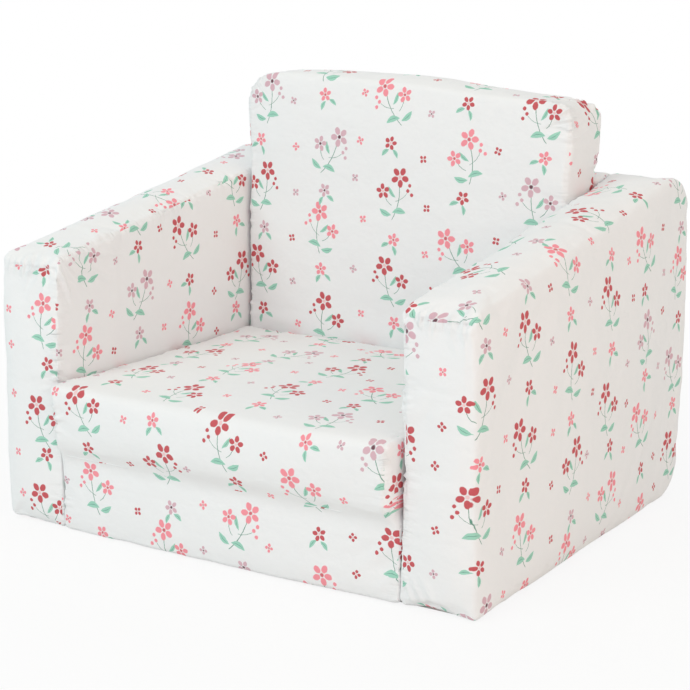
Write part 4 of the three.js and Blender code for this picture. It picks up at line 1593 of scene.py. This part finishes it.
def row_tree(name, loop):
    """A row of thread stitches, or of coil loops, from a place along a step, each turned alike."""
    group = bpy.data.node_groups.new(name, "GeometryNodeTree")
    sockets = {"Geometry": "Geometry", "Count": "Int", "Start": "Vector", "Step": "Vector", "Turn": "Vector",
               "Size": "Vector", "Finish": "Material"}
    for label, kind in sockets.items():
        group.interface.new_socket(label, in_out="INPUT", socket_type="NodeSocket" + kind)
    group.interface.new_socket("Geometry", in_out="OUTPUT", socket_type="NodeSocketGeometry")
    tree = Nodes(group)
    start = group.nodes.new("NodeGroupInput").outputs
    given = {label: Wire(tree, start[label]) for label in sockets}
    if loop:
        circle, wire = (
            tree.node("GeometryNodeCurvePrimitiveCircle", {}, {"Resolution": count, "Radius": radius})
            for count, radius in ((8, coil_radius), (4, coil_wire))
        )
        shape = tree.node("GeometryNodeCurveToMesh", {}, {"Curve": circle, "Profile Curve": wire})
    else:
        shape = tree.node("GeometryNodeMeshIcoSphere", {}, {"Radius": 0.5, "Subdivisions": 1})
    line = {"Count": given["Count"], "Start Location": given["Start"], "Offset": given["Step"]}
    places = {"Points": tree.node("GeometryNodeMeshLine", {}, line), "Instance": shape,
              "Rotation": given["Turn"], "Scale": given["Size"]}
    row = tree.node("GeometryNodeInstanceOnPoints", {}, places)
    whole = tree.node("GeometryNodeRealizeInstances", {}, {0: row})
    finish = tree.node("GeometryNodeSetMaterial", {}, {"Geometry": whole, "Material": given["Finish"]})
    group.links.new(finish.socket, group.nodes.new("NodeGroupOutput").inputs[0])
    return group


def row_mesh(group, **values):
    """The plain mesh that the tree makes with these values."""
    maker = placed("row", bpy.data.meshes.new("row"))
    modifier = maker.modifiers.new("row", "NODES")
    modifier.node_group = group
    for item in group.interface.items_tree:
        if item.in_out == "INPUT" and item.name in values:
            modifier[item.identifier] = values[item.name]
    made = with_modifiers(maker)
    bpy.data.objects.remove(maker)
    return made


def joined_rows(name, meshes, material):
    """Several rows as one piece."""
    work = bmesh.new()
    for mesh in meshes:
        work.from_mesh(mesh)
        bpy.data.meshes.remove(mesh)
    bmesh.ops.recalc_face_normals(work, faces=work.faces)
    mesh = bpy.data.meshes.new(name)
    work.to_mesh(mesh)
    work.free()
    mesh.shade_smooth()
    mesh.materials.clear()
    mesh.materials.append(material)
    return placed(name, mesh)


stitch_tree = row_tree("stitch_row", False)
coil_tree = row_tree("coil_row", True)
stitch_pitch = 0.0034
stitch_size = (0.0027, 0.0005, 0.0005)
stitch_offset = 0.0022
stitch_lift = 0.0001
stitch_overrun = 0.002


def stitches(start, end):
    """One straight row of stitches."""
    start, end = Vector(start), Vector(end)
    count = max(2, round((end - start).length / stitch_pitch))
    step = (end - start) / (count - 1)
    turn = step.to_track_quat("X", "Z").to_euler()
    return row_mesh(
        stitch_tree, Count=count, Start=start, Step=step, Turn=turn, Size=stitch_size, Finish=thread_material
    )


def coil(zip_place, way, out):
    """The nylon loops along one tape's meeting edge."""
    centre = Vector(zip_place) + coil_offset * Vector(way) - coil_depth * Vector(out)
    half = zip_half - coil_end_gap
    return row_mesh(
        coil_tree, Count=round(2 * half / coil_pitch), Start=centre - Vector((half, 0, 0)),
        Step=(coil_pitch, 0, 0), Turn=(0, math.pi / 2, coil_lean), Size=(1, 1, 1), Finish=coil_material
    )


for name, zip_place, out, body, ends in (
    ("seat_zip", seat_zip, (0, 1, 0), "seat_cushion", (("lower", (0, 0, -1)), ("upper", (0, 0, 1)))),
    ("base_zip", base_zip, (0, 0, -1), "root", (("front", (0, -1, 0)), ("rear", (0, 1, 0)))),
):
    coils, sewn = [], []
    for end, way in ends:
        tape(f"{name}_{end}_tape", zip_place, way, out, f"{name}_tape_{end}", body)
        coils.append(coil(zip_place, way, out))
        beside = Vector(zip_place) + (slot_half_height + stitch_offset) * Vector(way)
        beside += stitch_lift * Vector(out)
        reach = Vector((zip_half + stitch_overrun, 0, 0))
        sewn.append(stitches(beside - reach, beside + reach))
    dress(joined_rows(name + "_coil", coils, coil_material), body, "zip_tape")
    dress(joined_rows(name + "_stitches", sewn, thread_material), body, "zip_tape")
    for part in ("slider", "stop_left", "stop_right"):
        metal_piece = bpy.data.objects[f"{name}_{part}"]
        metal_piece.data.materials.clear()
        metal_piece.data.materials.append(metal_material)

hem = 0.006
hem_height = 0.0002
hem_ends = rectangle((under_low.x + hem, under_high.x - hem), (under_low.y + hem, under_high.y - hem))
rows = [stitches((*a, hem_height), (*b, hem_height)) for a, b in zip(hem_ends[:-1], hem_ends[1:])]
dress(joined_rows("underside_stitches", rows, thread_material), "root", "underside_cloth")
